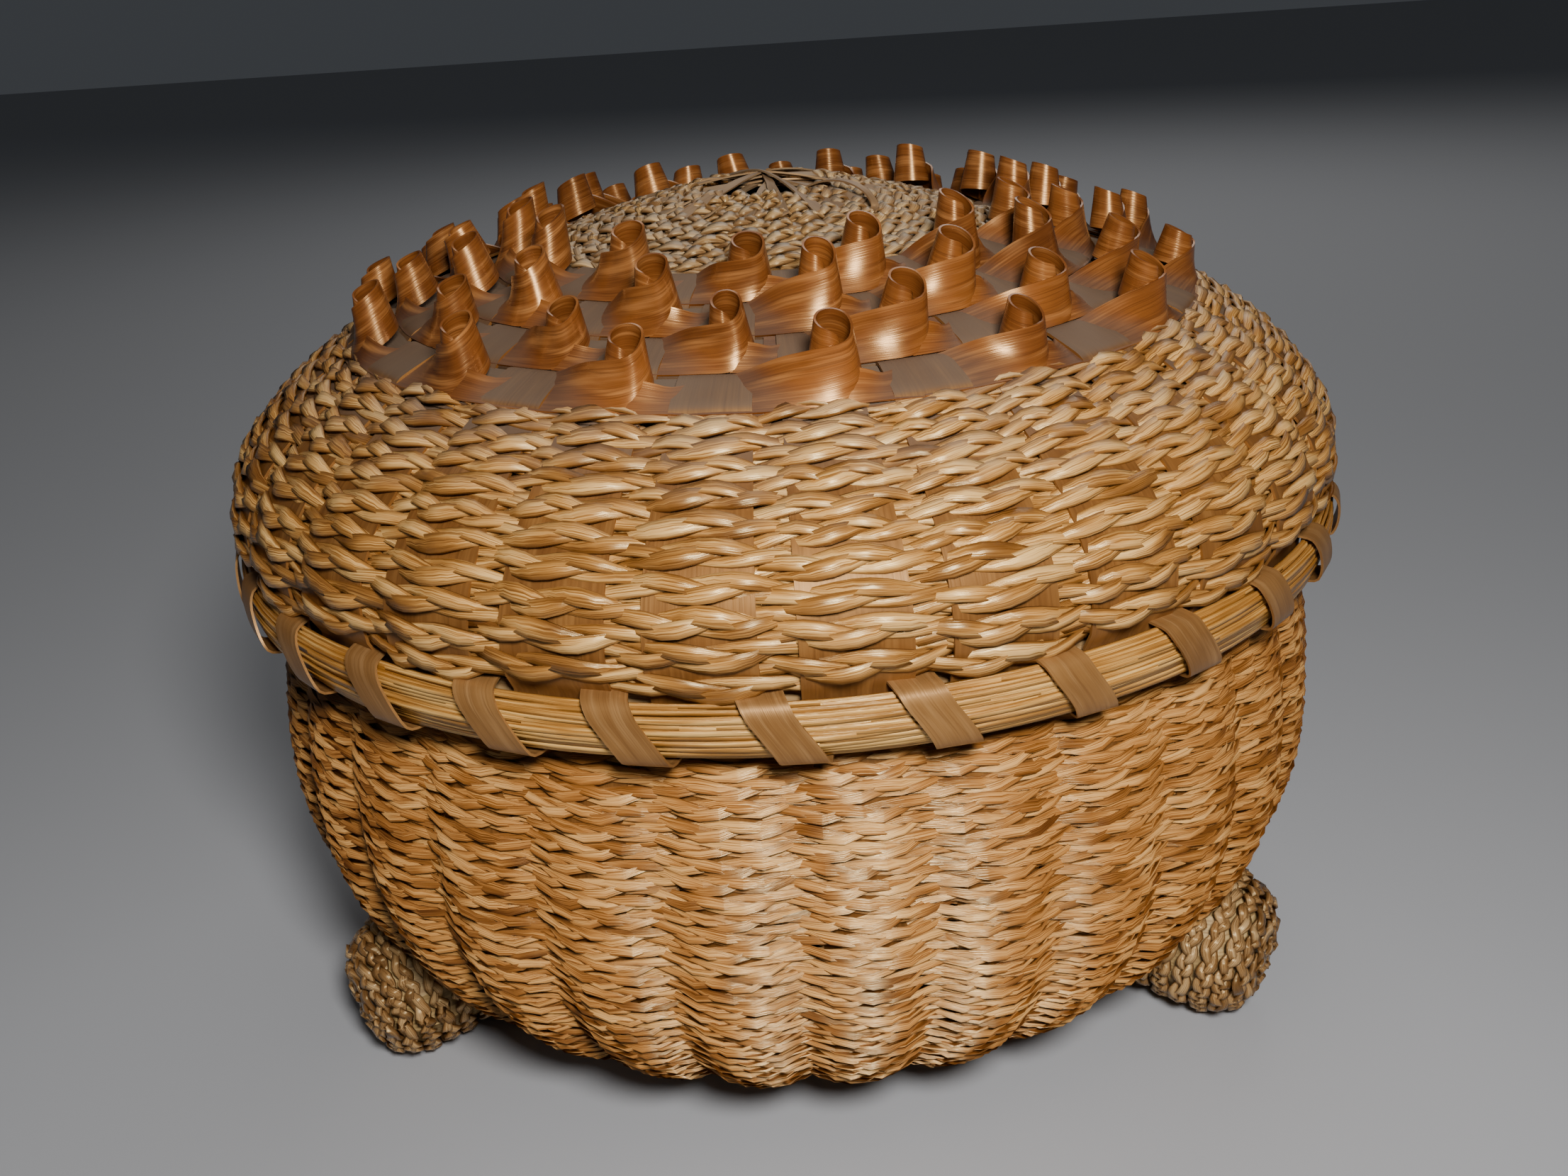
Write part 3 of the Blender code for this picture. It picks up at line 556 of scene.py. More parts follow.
def strips(name, sheets, thickness, material, closed=False):
    """One object from (along, across, 3) arrays of places, one array for each strip."""
    bm = bmesh.new()
    uv = bm.loops.layers.uv.new("Splint")
    for number, places in enumerate(sheets):
        along, across = places.shape[0] - 1, places.shape[1] - 1
        made = bmesh.ops.create_grid(bm, x_segments=along, y_segments=across, size=1.0)["verts"]
        steps = np.linalg.norm(np.diff(places[:, across // 2], axis=0), axis=1)
        marks = np.concatenate([[0.0], np.cumsum(steps)]) * 100 + GRAIN_SHIFT_ALONG * number
        wide = np.linalg.norm(places[along // 2, -1] - places[along // 2, 0]) * 100
        spots = {}
        for vert in made:
            spots[vert] = (round((vert.co.x + 1) / 2 * along), round((vert.co.y + 1) / 2 * across))
        for face in {face for vert in made for face in vert.link_faces}:
            for loop in face.loops:
                i, j = spots[loop.vert]
                sideways = (j / across - 0.5) * wide + GRAIN_SHIFT_ACROSS * number
                loop[uv].uv = (marks[i], sideways)
        for vert, (i, j) in spots.items():
            vert.co = places[i, j]
    if closed:
        bmesh.ops.remove_doubles(bm, verts=bm.verts[:], dist=1e-6)
    mesh = bpy.data.meshes.new(name)
    bm.to_mesh(mesh)
    bm.free()
    mesh.shade_smooth()
    mesh.materials.append(material)
    made = bpy.data.objects.new(name, mesh)
    bpy.context.scene.collection.objects.link(made)
    skin = made.modifiers.new("thickness", "SOLIDIFY")
    skin.thickness = thickness
    skin.offset = 0.0
    hard = made.modifiers.new("crisp edges", "EDGE_SPLIT")
    hard.split_angle = CRISP_ANGLE
    return made


def smooth_line(stations, count):
    """A line through the stations with no corners, as count places along it."""
    points = np.array(stations, float)
    before, after = 2 * points[0] - points[1], 2 * points[-1] - points[-2]
    padded = np.concatenate([[before], points, [after]])
    made = []
    for t in np.linspace(0.0, len(points) - 1.0, count):
        i = min(int(t), len(points) - 2)
        u = t - i
        a, b, c, d = padded[i:i + 4]
        cubic = 2 * a - 5 * b + 4 * c - d + u * (3 * (b - c) + d - a)
        made.append(b + 0.5 * u * (c - a + u * cubic))
    return np.array(made)


# %% [markdown]
# Ash shows its growth as fine darker lines along the strip, with a silky sheen across them. The
# curls are the glossiest wood on the basket and glow orange where they stand clear. The flat rows
# between them have gone grey with dust, which lies on any strip that faces up and keeps close to
# the lid, so the standing curls stay clean.

# %% Splint finish
ASH_SHINE, ASH_DUST = (1.0, 0.58, 0.25, 1.0), (0.088, 0.07, 0.057, 1.0)
ASH_DUST_FROM, ASH_DUST_FULL = 0.121, 0.129
CLEAN_FROM, CLEAN_FULL = 1.2 * MM, 3.5 * MM


def splint(name, dark, middle, light, dust, gloss):
    """Split ash in three tones, with growth lines and, where it lies flat, dust."""
    made = Finish(name, Roughness=gloss, Specular_IOR_Level=1.0, Specular_Tint=ASH_SHINE)
    uv = made.node("ShaderNodeUVMap", {"uv_map": "Splint"}, {})
    place = made.node("ShaderNodeTexCoord", {}, {}, "Object")
    grain = made.noise(made.stretched(uv, (0.5, 26.0, 1.0)), 1.6, 4.0)
    band = made.noise(made.stretched(uv, (0.6, 5.0, 1.0)), 1.2, 2.0)
    stain = made.noise(place, 70.0, 3.0)
    growth = made.noise(made.stretched(uv, (0.12, 6.0, 1.0)), 1.5, 1.0)
    line = growth.ramp(0.49, 0.52) * (1.0 - growth.ramp(0.53, 0.56))
    colour = made.blend((grain * 0.28 + stain * 0.7 - 0.02).ramp(0.2, 0.7), dark, middle)
    colour = made.blend((band * 0.7 + grain * 0.2 + 0.05).ramp(0.45, 0.8) * 0.8, colour, light)
    colour = made.blend(line * 0.4, colour, dark)
    if dust:
        facing = made.node("ShaderNodeNewGeometry", {}, {}, "Normal")
        level = made.node("ShaderNodeSeparateXYZ", {}, {0: facing}, 2).ramp(0.4, 0.93)
        x, y, z = (made.node("ShaderNodeSeparateXYZ", {}, {0: place}, i) for i in range(3))
        radius = made.maths("SQRT", x * x + y * y)
        above = z + radius * LID_SLOPE - LID_TOP
        close = 1.0 - above.ramp(CLEAN_FROM, CLEAN_FULL)
        high = z.ramp(ASH_DUST_FROM, ASH_DUST_FULL)
        settled = level * close * high * (stain * 0.7 + 0.5) * dust
        colour = made.blend(settled, colour, ASH_DUST)
        made.feed("Roughness", settled * 0.4 + (grain * 0.16 + (gloss - 0.08)))
    made.feed("Base Color", colour)
    made.bump(grain, 0.25, 0.12 * MM)
    return made.material


CURL_ASH = splint(
    "curl ash", (0.07, 0.018, 0.004, 1), (0.22, 0.068, 0.014, 1), (0.48, 0.2, 0.055, 1), 0.6, 0.29,
)
ROW_ASH = splint(
    "dusty ash", (0.08, 0.04, 0.02, 1), (0.16, 0.09, 0.05, 1), (0.22, 0.14, 0.08, 1), 0.9, 0.6,
)
STAKE_ASH = splint(
    "stake ash", (0.09, 0.032, 0.007, 1), (0.2, 0.08, 0.018, 1), (0.28, 0.13, 0.035, 1), 0.9, 0.45,
)
STRIP_ASH = splint(
    "strip ash", (0.13, 0.07, 0.032, 1), (0.26, 0.16, 0.08, 1), (0.36, 0.25, 0.14, 1), 0.2, 0.5,
)
LASH_ASH = splint(
    "lashing ash", (0.11, 0.045, 0.012, 1), (0.24, 0.115, 0.035, 1), (0.33, 0.18, 0.07, 1), 0, 0.4,
)

# %% [markdown]
# The stakes come next. They start at the middle of the base, turn up the wall and end at the rim.
# Across the base they are woven with rounds of flat splint, so each dips under one round and lies
# over the next.


# %% Bowl stakes and base
def ride_of(angles, odd):
    """1 where a round lies over a stake, -1 where it goes under, for these angles."""
    return over_under(np.cos(angles * STAKES / 2 + math.pi * odd))


def directions(angle):
    """Straight out from the middle of the basket at this angle, and sideways to it."""
    x, y = math.cos(angle), math.sin(angle)
    return np.array([x, y, 0.0]), np.array([-y, x, 0.0])


def radial_strip(number, line, width_at):
    """A stake's strip. A place on its line is a radius, a height and how its edges bow in."""
    radial, side = directions(number * STEP)
    upward = np.array([0.0, 0.0, 1.0])
    rows = []
    for r, z, bow_r, bow_z in line:
        half = 0.5 * width_at(r)
        rows.append([
            radial * (r - bow_r * s * s) + side * s * half + upward * (z - bow_z * s * s)
            for s in ACROSS
        ])
    return np.array(rows)


def wall_spot(outline, distance, inset, bow):
    """A place just inside a wall, with the way its stake's edges bow."""
    (radius, height), out, way = outline.place(distance)
    return (radius - inset * out[0], height - inset * out[1], bow * out[0], bow * out[1])


def tapered(width):
    """The width of a stake at each radius. It narrows with the room between its neighbours."""
    return lambda radius: width * min(radius / FULL_WIDTH_RADIUS, 1.0)


FULL_WIDTH_RADIUS, BOWL_STAKE_WIDTH, LID_STAKE_WIDTH = 0.099, 13 * MM, 15.5 * MM
BASE_SPLINTS, BASE_INNER, MIDDLE_DISC = 8, 0.0125, (0.0002, 0.007, 0.0135)
splint_pitch = (BASE_RADIUS - BASE_INNER) / BASE_SPLINTS
base_level, BASE_SWING = BASE_HEIGHT + 1.1 * MM, 0.4 * MM
bowl_stakes = []
for number in range(STAKES):
    line = []
    for i in range(4 * BASE_SPLINTS + 1):
        radius = BASE_INNER + splint_pitch * i / 4
        weave = math.cos(math.pi * (i / 4 - 0.5)) * (1 if number % 2 else -1)
        line.append((radius, base_level + BASE_SWING * weave, 0.0, 0.0))
    for distance in np.linspace(3 * MM, bowl.length - 0.5 * MM, 32):
        bow = (0.6 + 1.6 * bowl_rib(bowl.place(distance)[0][1])) * MM
        line.append(wall_spot(bowl, distance, 1.5 * MM, bow))
    bowl_stakes.append(radial_strip(number, line, tapered(BOWL_STAKE_WIDTH)))
stakes_piece = strips("bowl_stakes", bowl_stakes, 0.6 * MM, STAKE_ASH)
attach(stakes_piece, "basket")
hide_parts("body_stakes")


def splint_round(inner, outer, level_at, swing, odd):
    """A flat ring of splint woven over and under the stakes."""
    angles = np.linspace(0.0, math.tau, 8 * STAKES + 1)
    weave = ride_of(angles, odd) * swing
    rows = []
    for radius in (outer, 0.5 * (inner + outer), inner):
        height = level_at(radius) + weave
        rows.append(np.stack([radius * np.cos(angles), radius * np.sin(angles), height], axis=-1))
    return np.array(rows).transpose(1, 0, 2)


base_rounds = []
for i in range(BASE_SPLINTS):
    inner = BASE_INNER + i * splint_pitch + 0.15 * MM
    outer = inner + splint_pitch - 0.3 * MM
    base_rounds.append(splint_round(inner, outer, lambda r: base_level, BASE_SWING, i))
disc = np.array([
    [[r * math.cos(a), r * math.sin(a), base_level] for r in MIDDLE_DISC]
    for a in np.linspace(0.0, math.tau, 25)
])
base_piece = strips("base_splints", base_rounds + [disc], 0.5 * MM, STAKE_ASH, closed=True)
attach(base_piece, "basket")
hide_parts("base_weave")

# %% [markdown]
# The lid's stakes stand in the edge, bow over the shoulder and run to the crown. Where the flat
# rows are, they weave with four rings of splint. These are the grey squares between the curls.
# Levels are counted from the dome, and the stakes swing through the rings, which lie nearly flat.

# %% Lid stakes and flat rows
SPLINT_WIDTH, ROW_PITCH, ROW_EDGE = 8.5 * MM, 9.0 * MM, 76.5 * MM
STAKE_MIDDLE, STAKE_SWING = -0.75 * MM, 0.7 * MM
ROW_LEVEL, ROW_SWING = -0.95 * MM, 0.03 * MM
LID_STAKE_FOOT = [(0.0972, 0.0896, 0.0, 0.0), (0.0976, 0.0975, 0.0, 0.0)]
LID_STAKE_FROM, LID_STAKE_TO = 0.0772, 0.011  # radii of the part that lies on the dome
row_middles = [ROW_EDGE - 0.5 * SPLINT_WIDTH - ROW_PITCH * row for row in range(4)]
lid_stakes = []
for number in range(STAKES):
    line = list(LID_STAKE_FOOT)
    for distance in np.linspace(1.5 * MM, lid_side.length - 1.5 * MM, 14):
        line.append(wall_spot(lid_side, distance, 1.6 * MM, 0.2 * MM))
    for radius in np.arange(LID_STAKE_FROM, LID_STAKE_TO, -0.6 * MM):
        row = (ROW_EDGE - radius) / ROW_PITCH
        over = -1.0
        if 0.0 < row < 4.0:
            over = math.tanh(3.2 * math.cos(math.pi * (row - 0.5))) * (-1) ** number
        line.append((radius, dome_height(radius) + STAKE_MIDDLE + STAKE_SWING * over, 0.0, 0.0))
    lid_stakes.append(radial_strip(number, line, tapered(LID_STAKE_WIDTH)))
lid_stakes_piece = strips("lid_stake_strips", lid_stakes, 0.45 * MM, STAKE_ASH)
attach(lid_stakes_piece, "lid")
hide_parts("lid_stakes")

for row, middle in enumerate(row_middles):
    inner, outer = middle - 0.5 * SPLINT_WIDTH, middle + 0.5 * SPLINT_WIDTH
    ring = splint_round(inner, outer, lambda r: dome_height(r) + ROW_LEVEL, ROW_SWING, row)
    piece = strips("lid_flat_row_%d" % (row + 1), [ring], 0.4 * MM, ROW_ASH, closed=True)
    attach(piece, "lid")
    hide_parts("lid_splint_row_%d" % (row + 1))

# %% [markdown]
# The curls make the basket. A second splint runs flat over each row. At every other stake the
# maker lifts it, winds it once and a third round into a leaning cone, and tucks it down again to
# the right. The strip is described by its two edges. Each station below gives a place of the lower
# edge or of the upper one, with the cone's radius and height as the units: to the right along the
# row, in towards the crown, and up. A smooth line through the stations gives each edge, and the
# strip spans the two. The whole is then laid along its ring, so that the flat run bends with the
# row. The tail is a second short strip, the pale point that shows under the curl's right side.


# %% Curls
CURL_RADIUS, CURL_HEIGHT, CURL_LEVEL = 4.0 * MM, 10.0 * MM, -0.5 * MM
CURL_TURN = 1.2  # degrees by which the curls stand beside their stakes


def around(radius, degrees, up):
    """A station on the cone itself."""
    turn = math.radians(degrees)
    return (radius * math.cos(turn), radius * math.sin(turn), up)


CURL_LOWER = [
    (-5.0, -1.08, -0.01), (-3.9, -1.09, 0.0), (-3.0, -1.1, 0.0), (-2.0, -1.1, 0.005),
    (-1.0, -1.1, 0.015),
    around(1.1, -84, 0.035), around(1.08, -42, 0.075), around(1.04, 2, 0.12),
    around(1.0, 45, 0.17), around(0.95, 90, 0.22), around(0.89, 135, 0.27),
    around(0.82, 180, 0.31), around(0.75, 225, 0.33), around(0.67, 268, 0.33),
    around(0.54, 308, 0.27), around(0.48, 335, 0.1),
]
CURL_UPPER = [
    (-5.0, 1.08, -0.01), (-3.9, 1.05, 0.0), (-3.15, 0.94, 0.07), (-2.45, 0.66, 0.24),
    (-1.62, 0.16, 0.47), (-0.82, -0.36, 0.66),
    around(0.72, -66, 0.81), around(0.68, -18, 0.9), around(0.66, 32, 0.96),
    around(0.63, 78, 0.99), around(0.6, 124, 1.0), around(0.57, 170, 0.99),
    around(0.53, 216, 0.97), around(0.46, 258, 0.92), around(0.34, 296, 0.78),
    around(0.3, 330, 0.5),
]
TAIL_LOWER = [
    (0.1, -1.1, 0.02), (0.95, -1.12, 0.025), (1.7, -1.1, 0.02), (2.5, -1.08, -0.01),
    (3.3, -1.06, -0.04),
]
TAIL_UPPER = [
    (0.5, -0.5, 0.42), (1.15, -0.35, 0.3), (1.75, 0.0, 0.13), (2.5, 0.6, 0.02),
    (3.3, 0.95, -0.04),
]


def curl_strip(lower, upper, along, across, ring, vary):
    """A strip between two edges, laid along a ring given by its radius and the curl's angle.

    The flat run is squeezed where it would reach past the curl before it.
    """
    edges = [smooth_line(stations, along + 1) for stations in (lower, upper)]
    shares = np.linspace(0.0, 1.0, across + 1)[None, :, None]
    spots = edges[0][:, None] * (1 - shares) + edges[1][:, None] * shares
    right, inward, up = spots[..., 0], spots[..., 1], spots[..., 2]
    radius, angle = ring
    free = math.pi * radius / (STAKES // 2) - CURL_RADIUS
    squeeze = min(1.0, free / (2.4 * CURL_RADIUS))
    right = right - np.minimum(right + 1.0, 0.0) * (1.0 - squeeze)
    right = (right * vary["wide"] + vary["lean"] * up) * CURL_RADIUS
    inward = (inward + vary["tip"] * up) * CURL_RADIUS
    reach = radius - inward
    turned = angle + right / radius
    height = dome_height(reach) + CURL_LEVEL + up * vary["tall"] * CURL_HEIGHT
    return np.stack([reach * np.cos(turned), reach * np.sin(turned), height], axis=-1)


for row, middle in enumerate(row_middles):
    sheets = []
    for i in range(STAKES // 2):
        degrees = 24.0 * i + 12.0 * ((row + 1) % 2) + CURL_TURN
        angle = math.radians(degrees) + chance.normal(0.0, 0.012)
        vary = {
            "wide": 1.0 + chance.normal(0.0, 0.05), "tall": 1.0 + chance.uniform(-0.2, 0.06),
            "lean": chance.normal(0.1, 0.22), "tip": chance.normal(-0.1, 0.2),
        }
        sheets.append(curl_strip(CURL_LOWER, CURL_UPPER, 52, 5, (middle, angle), vary))
        sheets.append(curl_strip(TAIL_LOWER, TAIL_UPPER, 10, 3, (middle, angle), vary))
    piece = strips("lid_curls_%d" % (row + 1), sheets, 0.35 * MM, CURL_ASH)
    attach(piece, "lid")
    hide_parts("lid_curled_row_%d" % (row + 1))

# %% [markdown]
# Inside the rows of curls the lid goes back to braid, in smaller rounds up to the crown. A round
# has fewer plaits the shorter it is, so their length stays much the same.

# %% Crown braids
CROWN_ROUNDS, CROWN_OUTER, CROWN_INNER, PLAIT_LENGTH = 14, 40.8 * MM, 12.5 * MM, 2.8 * MM
crown_radii = np.linspace(CROWN_OUTER, CROWN_INNER, 12)
crown_line = Outline([(radius, dome_height(radius)) for radius in crown_radii])
crown_form = StrandForm(sections=10 * STAKES)
flat = []
for i in range(CROWN_ROUNDS):
    spot = crown_line.place((i + 0.5) * crown_line.length / CROWN_ROUNDS)
    radius = spot[0][0]
    sizes = {
        "amplitude": 0.55 * MM, "rib": 0.1 * MM, "inset": 0.8 * MM, "pinch": 0.25,
        "periods": round(3 + radius / PLAIT_LENGTH), "sag": 0.1 * MM, "wander": 0.35 * MM,
        "spread": 1.15 * MM, "depth": 0.5 * MM, "tall": 1.12 * MM, "thick": 0.5 * MM, "dome": 110.0,
    }
    flat += braid_round(crown_form, spot, i % 2, sizes)
crown_piece = strands("lid_crown_braids", crown_form, flat, 20.0, CROWN_GRASS, first=800)
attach(crown_piece, "lid")
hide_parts("lid_centre_weave")

# %% [markdown]
# The stakes' thin ends cross at the top and stand up like a small tent. Eleven strips lie one over
# the other, each a little off the middle. Two more ends have worked loose: one makes a low loop at
# the back left, and the other curls over at the front right.

# %% Crown strips
CROWN_STRIPS, TENT_REACH, TENT_PEAK, TENT_STEP = 11, 22.5 * MM, 150.6 * MM, 0.24 * MM
TENT_FOOT = dome_height(0.0205) - 0.7 * MM
sheets = []
for i in range(CROWN_STRIPS):
    along, side = directions(math.pi * i * 4 / CROWN_STRIPS + chance.normal(0.0, 0.06))
    off = chance.normal(0.0, 0.9 * MM)
    peak = TENT_PEAK + i * TENT_STEP
    rows = []
    for share in np.linspace(-1.0, 1.0, 21):
        bow = 1.0 - abs(share) ** 1.5
        middle = along * share * TENT_REACH + side * (off + chance.normal(0.0, 0.05 * MM))
        middle[2] = TENT_FOOT + (peak - TENT_FOOT) * bow
        half = (0.6 + 0.4 * abs(share)) * MM
        lean = 0.45 * math.sin(3.0 * share + i)
        edge = side * half + np.array([0.0, 0.0, half * lean])
        rows.append([middle - edge, middle, middle + edge])
    sheets.append(np.array(rows))


def ribbon(stations, half):
    """A loose end of a stake, level from side to side."""
    middles = smooth_line(stations, 21) * MM
    way = np.gradient(middles, axis=0)
    side = np.stack([-way[:, 1], way[:, 0], np.zeros(len(way))], axis=-1)
    side /= np.linalg.norm(side, axis=1, keepdims=True)
    return np.stack([middles - side * half, middles, middles + side * half], axis=1)


LOOSE_LOOP = [
    (-15.5, 3.5, 147.8), (-14.0, 4.0, 149.8), (-10.8, 4.6, 151.4), (-7.2, 4.8, 151.2),
    (-4.0, 4.4, 149.8),
]
LOOSE_END = [
    (8.0, -7.2, 150.8), (11.0, -9.8, 151.9), (14.6, -12.8, 152.0), (17.6, -15.4, 150.6),
    (19.0, -16.8, 148.4), (18.6, -17.2, 147.0),
]
sheets += [ribbon(LOOSE_LOOP, 0.6 * MM), ribbon(LOOSE_END, 0.75 * MM)]
strip_piece = strips("lid_crown_strips", sheets, 0.3 * MM, STRIP_ASH)
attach(strip_piece, "lid")
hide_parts(*["lid_centre_strip_%d" % (i + 1) for i in range(6)])

# %% [markdown]
# The edge of the lid is a bundle of loose grass, laid round and bound on. Its blades are plain
# strands that barely wander, packed side by side over a few thicker ones that fill the middle.

# %% Grass at the lid's edge
BLADES, FILLERS = 17, 5
EDGE_LEVEL, EDGE_RADIUS, FILLER_RADIUS = 93.65 * MM, 100.95 * MM, 99.6 * MM
edge_form = StrandForm(sections=4 * STAKES)
angles = np.arange(edge_form.sections) * math.tau / edge_form.sections
sides = np.arange(edge_form.sides) * math.tau / edge_form.sides
blades = []
for i in range(BLADES + FILLERS):
    if i < BLADES:
        share = (i + 0.5) / BLADES * 2 - 1
        height = EDGE_LEVEL + share * 4.15 * MM
        radius = EDGE_RADIUS - 1.5 * MM * abs(share) ** 3 + chance.normal(0.0, 0.12 * MM)
        tall, thick = 0.52 * MM, 0.34 * MM
    else:
        share = (i - BLADES) / (FILLERS - 1) * 2 - 1
        height, radius = EDGE_LEVEL + share * 3.1 * MM, FILLER_RADIUS
        tall, thick = 0.95 * MM, 0.8 * MM
    height = height + ripple(angles, (2, 5, 9), 0.35 * MM)
    radius = radius + ripple(angles, (3, 7, 15), 0.2 * MM)
    swell = 1.0 + ripple(angles, (4, 9, 14), 0.3)
    ring_r = radius[:, None] + np.cos(sides)[None] * thick * swell[:, None]
    ring_z = height[:, None] + np.sin(sides)[None] * tall * swell[:, None]
    blades.append(np.stack([
        ring_r * np.cos(angles)[:, None], ring_r * np.sin(angles)[:, None], ring_z,
    ], axis=-1))
edge_piece = strands("lid_edge_grass", edge_form, blades, ROUND_LENGTH, RIM_GRASS, first=900)
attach(edge_piece, "lid")
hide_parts("lid_rim_bundle")

# %% [markdown]
# A satin strip of ash binds it. It comes up from under the bundle between two stakes, leans to the
# left as it climbs the front and goes in over the top. The stations are (radius, lean, height), in
# millimetres. The bowl's rim is bound in the same way, under the lid.


# %% Lashing
def lashing(name, body, node, stations, width):
    """One turn of the strip between each two stakes."""
    line = smooth_line(stations, 25) * MM
    sheets = []
    for i in range(STAKES):
        wander = chance.normal(0.0, 0.25 * MM)
        radial, side = directions(STEP / 2 + math.tau * i / STAKES)
        rows = []
        for radius, lean, height in line:
            middle = radial * radius + side * (lean + wander) + np.array([0.0, 0.0, height])
            rows.append([middle + side * s * 0.5 * width for s in ACROSS])
        sheets.append(np.array(rows))
    piece = strips(name, sheets, 0.4 * MM, LASH_ASH)
    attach(piece, body)
    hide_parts(node)


LID_LASHING = [
    (95.2, 3.4, 95.0), (95.2, 3.4, 90.0), (96.0, 3.3, 88.75), (99.0, 3.0, 88.6),
    (101.2, 2.6, 89.1), (102.0, 1.6, 91.2), (102.15, 0.0, 93.8), (101.9, -1.6, 96.2),
    (100.9, -2.6, 98.1), (98.9, -3.2, 98.7), (97.4, -3.4, 98.9),
]
BOWL_LASHING = [
    (93.0, 2.5, 93.4), (93.3, 1.2, 95.4), (92.9, -0.5, 97.6), (91.2, -1.6, 98.4),
    (88.0, -2.0, 98.5), (86.1, -2.2, 97.6), (85.9, -2.4, 95.4), (86.2, -2.5, 93.4),
]
lashing("lid_lashing", "lid", "lid_rim_lashing", LID_LASHING, 6.8 * MM)
lashing("bowl_lashing", "basket", "body_rim_lashing", BOWL_LASHING, 6.5 * MM)

# %% [markdown]
# Each foot is a stub of the same braid, worked round and round like a thimble. The rounds are laid
# on a foot's own axis and then moved to their place. Points that would go below the table or deep
# into the bowl's wall are pushed back out, as a soft braid would be.

# %% Feet
FOOT_TILT, FOOT_RADIUS, FOOT_NOSE, FOOT_ROOT = math.radians(9.0), 0.0145, 0.0142, 0.020
FOOT_ROUNDS, FOOT_STAKES, FOOT_PLAITS, FOOT_LENGTH = 11, 12, 8.5, 9.0
TABLE_GAP, WALL_SINK, FOOT_OUT = 0.15 * MM, 2.2 * MM, 5.5 * MM


def belly_radius(height):
    """The bowl's radius on the elliptical part of its wall."""
    share = (BELLY_HEIGHT - height) / (BELLY_HEIGHT - BASE_HEIGHT)
    return BASE_RADIUS + (BELLY_RADIUS - BASE_RADIUS) * np.sqrt(1.0 - share ** 2)


foot_line = [(0.82 * FOOT_RADIUS, -FOOT_ROOT), (0.95 * FOOT_RADIUS, -0.5 * FOOT_ROOT)]
for turn in np.linspace(0.0, 0.97 * math.pi / 2, 14):
    foot_line.append((FOOT_RADIUS * math.cos(turn) ** 0.7, FOOT_NOSE * math.sin(turn) ** 0.7))
foot_outline = Outline(foot_line)
below_axis = max(x * math.sin(FOOT_TILT) + r * math.cos(FOOT_TILT) for r, x in foot_line)
foot_height = below_axis - 0.8 * MM
foot_form = StrandForm(sections=10 * FOOT_STAKES)
for name, angle in {"front_left": -150.0, "front_right": -30.0, "back": 90.0}.items():
    place = Matrix.Rotation(math.radians(angle), 4, "Z")
    place @= Matrix.Translation((belly_radius(foot_height) + FOOT_OUT, 0.0, foot_height))
    place @= Matrix.Rotation(FOOT_TILT, 4, "Y")
    flat = []
    for i in range(FOOT_ROUNDS):
        spot = foot_outline.place((i + 0.5) * foot_outline.length / FOOT_ROUNDS)
        radius = spot[0][0]
        sizes = {
            "amplitude": 0.3 * MM, "rib": 0.1 * MM, "inset": 1.1 * MM, "pinch": 0.15,
            "periods": max(2, round(FOOT_PLAITS * radius / FOOT_RADIUS)), "stakes": FOOT_STAKES,
            "sag": 0.1 * MM, "wander": 0.25 * MM, "spread": 1.0 * MM, "depth": 0.5 * MM,
            "tall": 1.05 * MM, "thick": 0.56 * MM, "dome": 150.0,
        }
        flat += braid_round(foot_form, spot, i % 2, sizes)
    moved = []
    for ring in flat:
        spots = ring[..., [2, 0, 1]] @ np.array(place.to_3x3()).T + np.array(place.translation)
        spots[..., 2] = np.maximum(spots[..., 2], TABLE_GAP)
        wall = belly_radius(np.clip(spots[..., 2], BASE_HEIGHT, BELLY_HEIGHT)) - WALL_SINK
        push = np.maximum(wall / np.hypot(spots[..., 0], spots[..., 1]), 1.0)
        spots[..., :2] *= push[..., None]
        moved.append(spots)
    foot_piece = strands(
        "foot_" + name + "_braids", foot_form, moved, FOOT_LENGTH, FOOT_GRASS, first=40,
    )
    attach(foot_piece, "basket")
    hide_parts("foot_cover_" + name)

# %% [markdown]
# The few plain nodes that stay are the hoops inside both rims and the grass that plugs the feet.
# Their shape is right already, so they only get a finish. They carry no UV map, so this one reads
# the place on the piece instead.


# %% Finish of the plain nodes
def plain_finish(name, dark, light, gloss):
    made = Finish(name, Roughness=gloss)
    place = made.node("ShaderNodeTexCoord", {}, {}, "Object")
    grain = made.noise(made.stretched(place, (12.0, 12.0, 900.0)), 3.0, 4.0)
    made.feed("Base Color", made.blend(grain.ramp(0.3, 0.7), dark, light))
    made.bump(grain, 0.3, 0.0003)
    return made.material


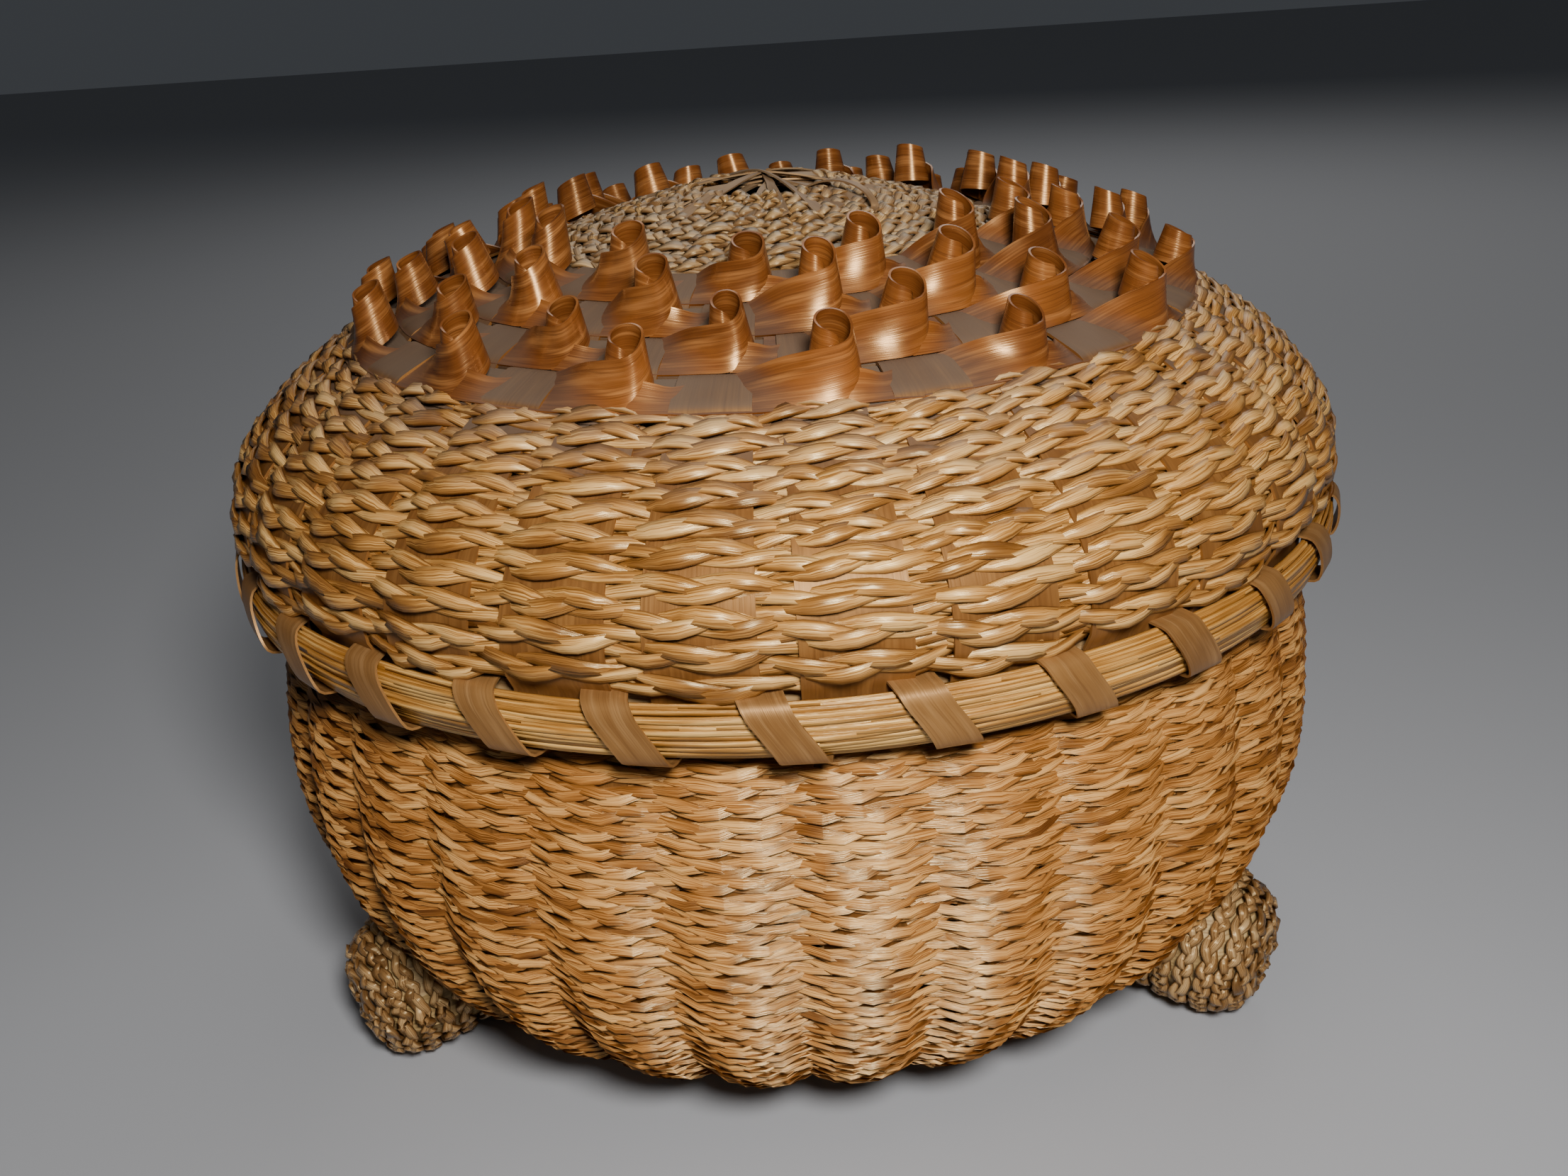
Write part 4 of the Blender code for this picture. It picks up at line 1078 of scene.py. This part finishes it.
HOOP_ASH = plain_finish("hoop ash", (0.3, 0.16, 0.06, 1), (0.52, 0.32, 0.14, 1), 0.45)
PLUG_GRASS = plain_finish("plug grass", (0.35, 0.2, 0.07, 1), (0.6, 0.4, 0.16, 1), 0.6)
for name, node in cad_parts.items():
    if node.hide_render:
        continue
    finish = PLUG_GRASS if name.startswith("foot") else HOOP_ASH
    node.data.materials.clear()
    node.data.materials.append(finish)
    print("kept", name)

# %% [markdown]
# The photographer's light came from close to the lens, so the key lamp is a small one just above
# the camera, and the basket's front is brighter than its sides. A weak lamp on the left and a grey
# world soften the shadows, and a large one at the back lights the floor. The floor is a plain pale
# sheet that isn't part of the basket.


# %% Floor and light
LIT_MIDDLE, FLOOR_HALF = Vector((0.0, 0.0, 0.08)), 3.0


def lamp(name, place, size, power):
    data = bpy.data.lights.new(name, "AREA")
    data.shape = "DISK"
    data.size = size
    data.energy = power
    made = bpy.data.objects.new(name, data)
    made.location = place
    aim_at = LIT_MIDDLE - made.location
    made.rotation_euler = aim_at.to_track_quat("-Z", "Y").to_euler()
    bpy.context.scene.collection.objects.link(made)


lamp("key lamp", Vector((0.05, -0.31, 0.28)), 0.07, 1.6)
lamp("fill lamp", Vector((-0.9, -0.4, 0.5)), 0.8, 0.2)
lamp("back lamp", Vector((0.2, 0.9, 0.9)), 0.8, 3.2)
world = bpy.data.worlds.new("studio")
world.use_nodes = True
backdrop = world.node_tree.nodes["Background"]
backdrop.inputs["Color"].default_value = (0.52, 0.56, 0.62, 1.0)
backdrop.inputs["Strength"].default_value = 0.085
bpy.context.scene.world = world

bm = bmesh.new()
bmesh.ops.create_grid(bm, x_segments=1, y_segments=1, size=FLOOR_HALF)
floor_mesh = bpy.data.meshes.new("floor")
bm.to_mesh(floor_mesh)
bm.free()
floor = bpy.data.objects.new("floor", floor_mesh)
floor_finish = Finish("floor paper", Roughness=0.85)
floor_finish.shader.inputs["Base Color"].default_value = (0.42, 0.42, 0.43, 1.0)
floor_mesh.materials.append(floor_finish.material)
bpy.context.scene.collection.objects.link(floor)
floor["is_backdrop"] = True

# %% Sizes
low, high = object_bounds()
sizes = {"cad": [list(cad_low), list(cad_high)], "visual": [list(low), list(high)]}
print("dressed model, mm:", [round(v / MM, 1) for v in high - low])
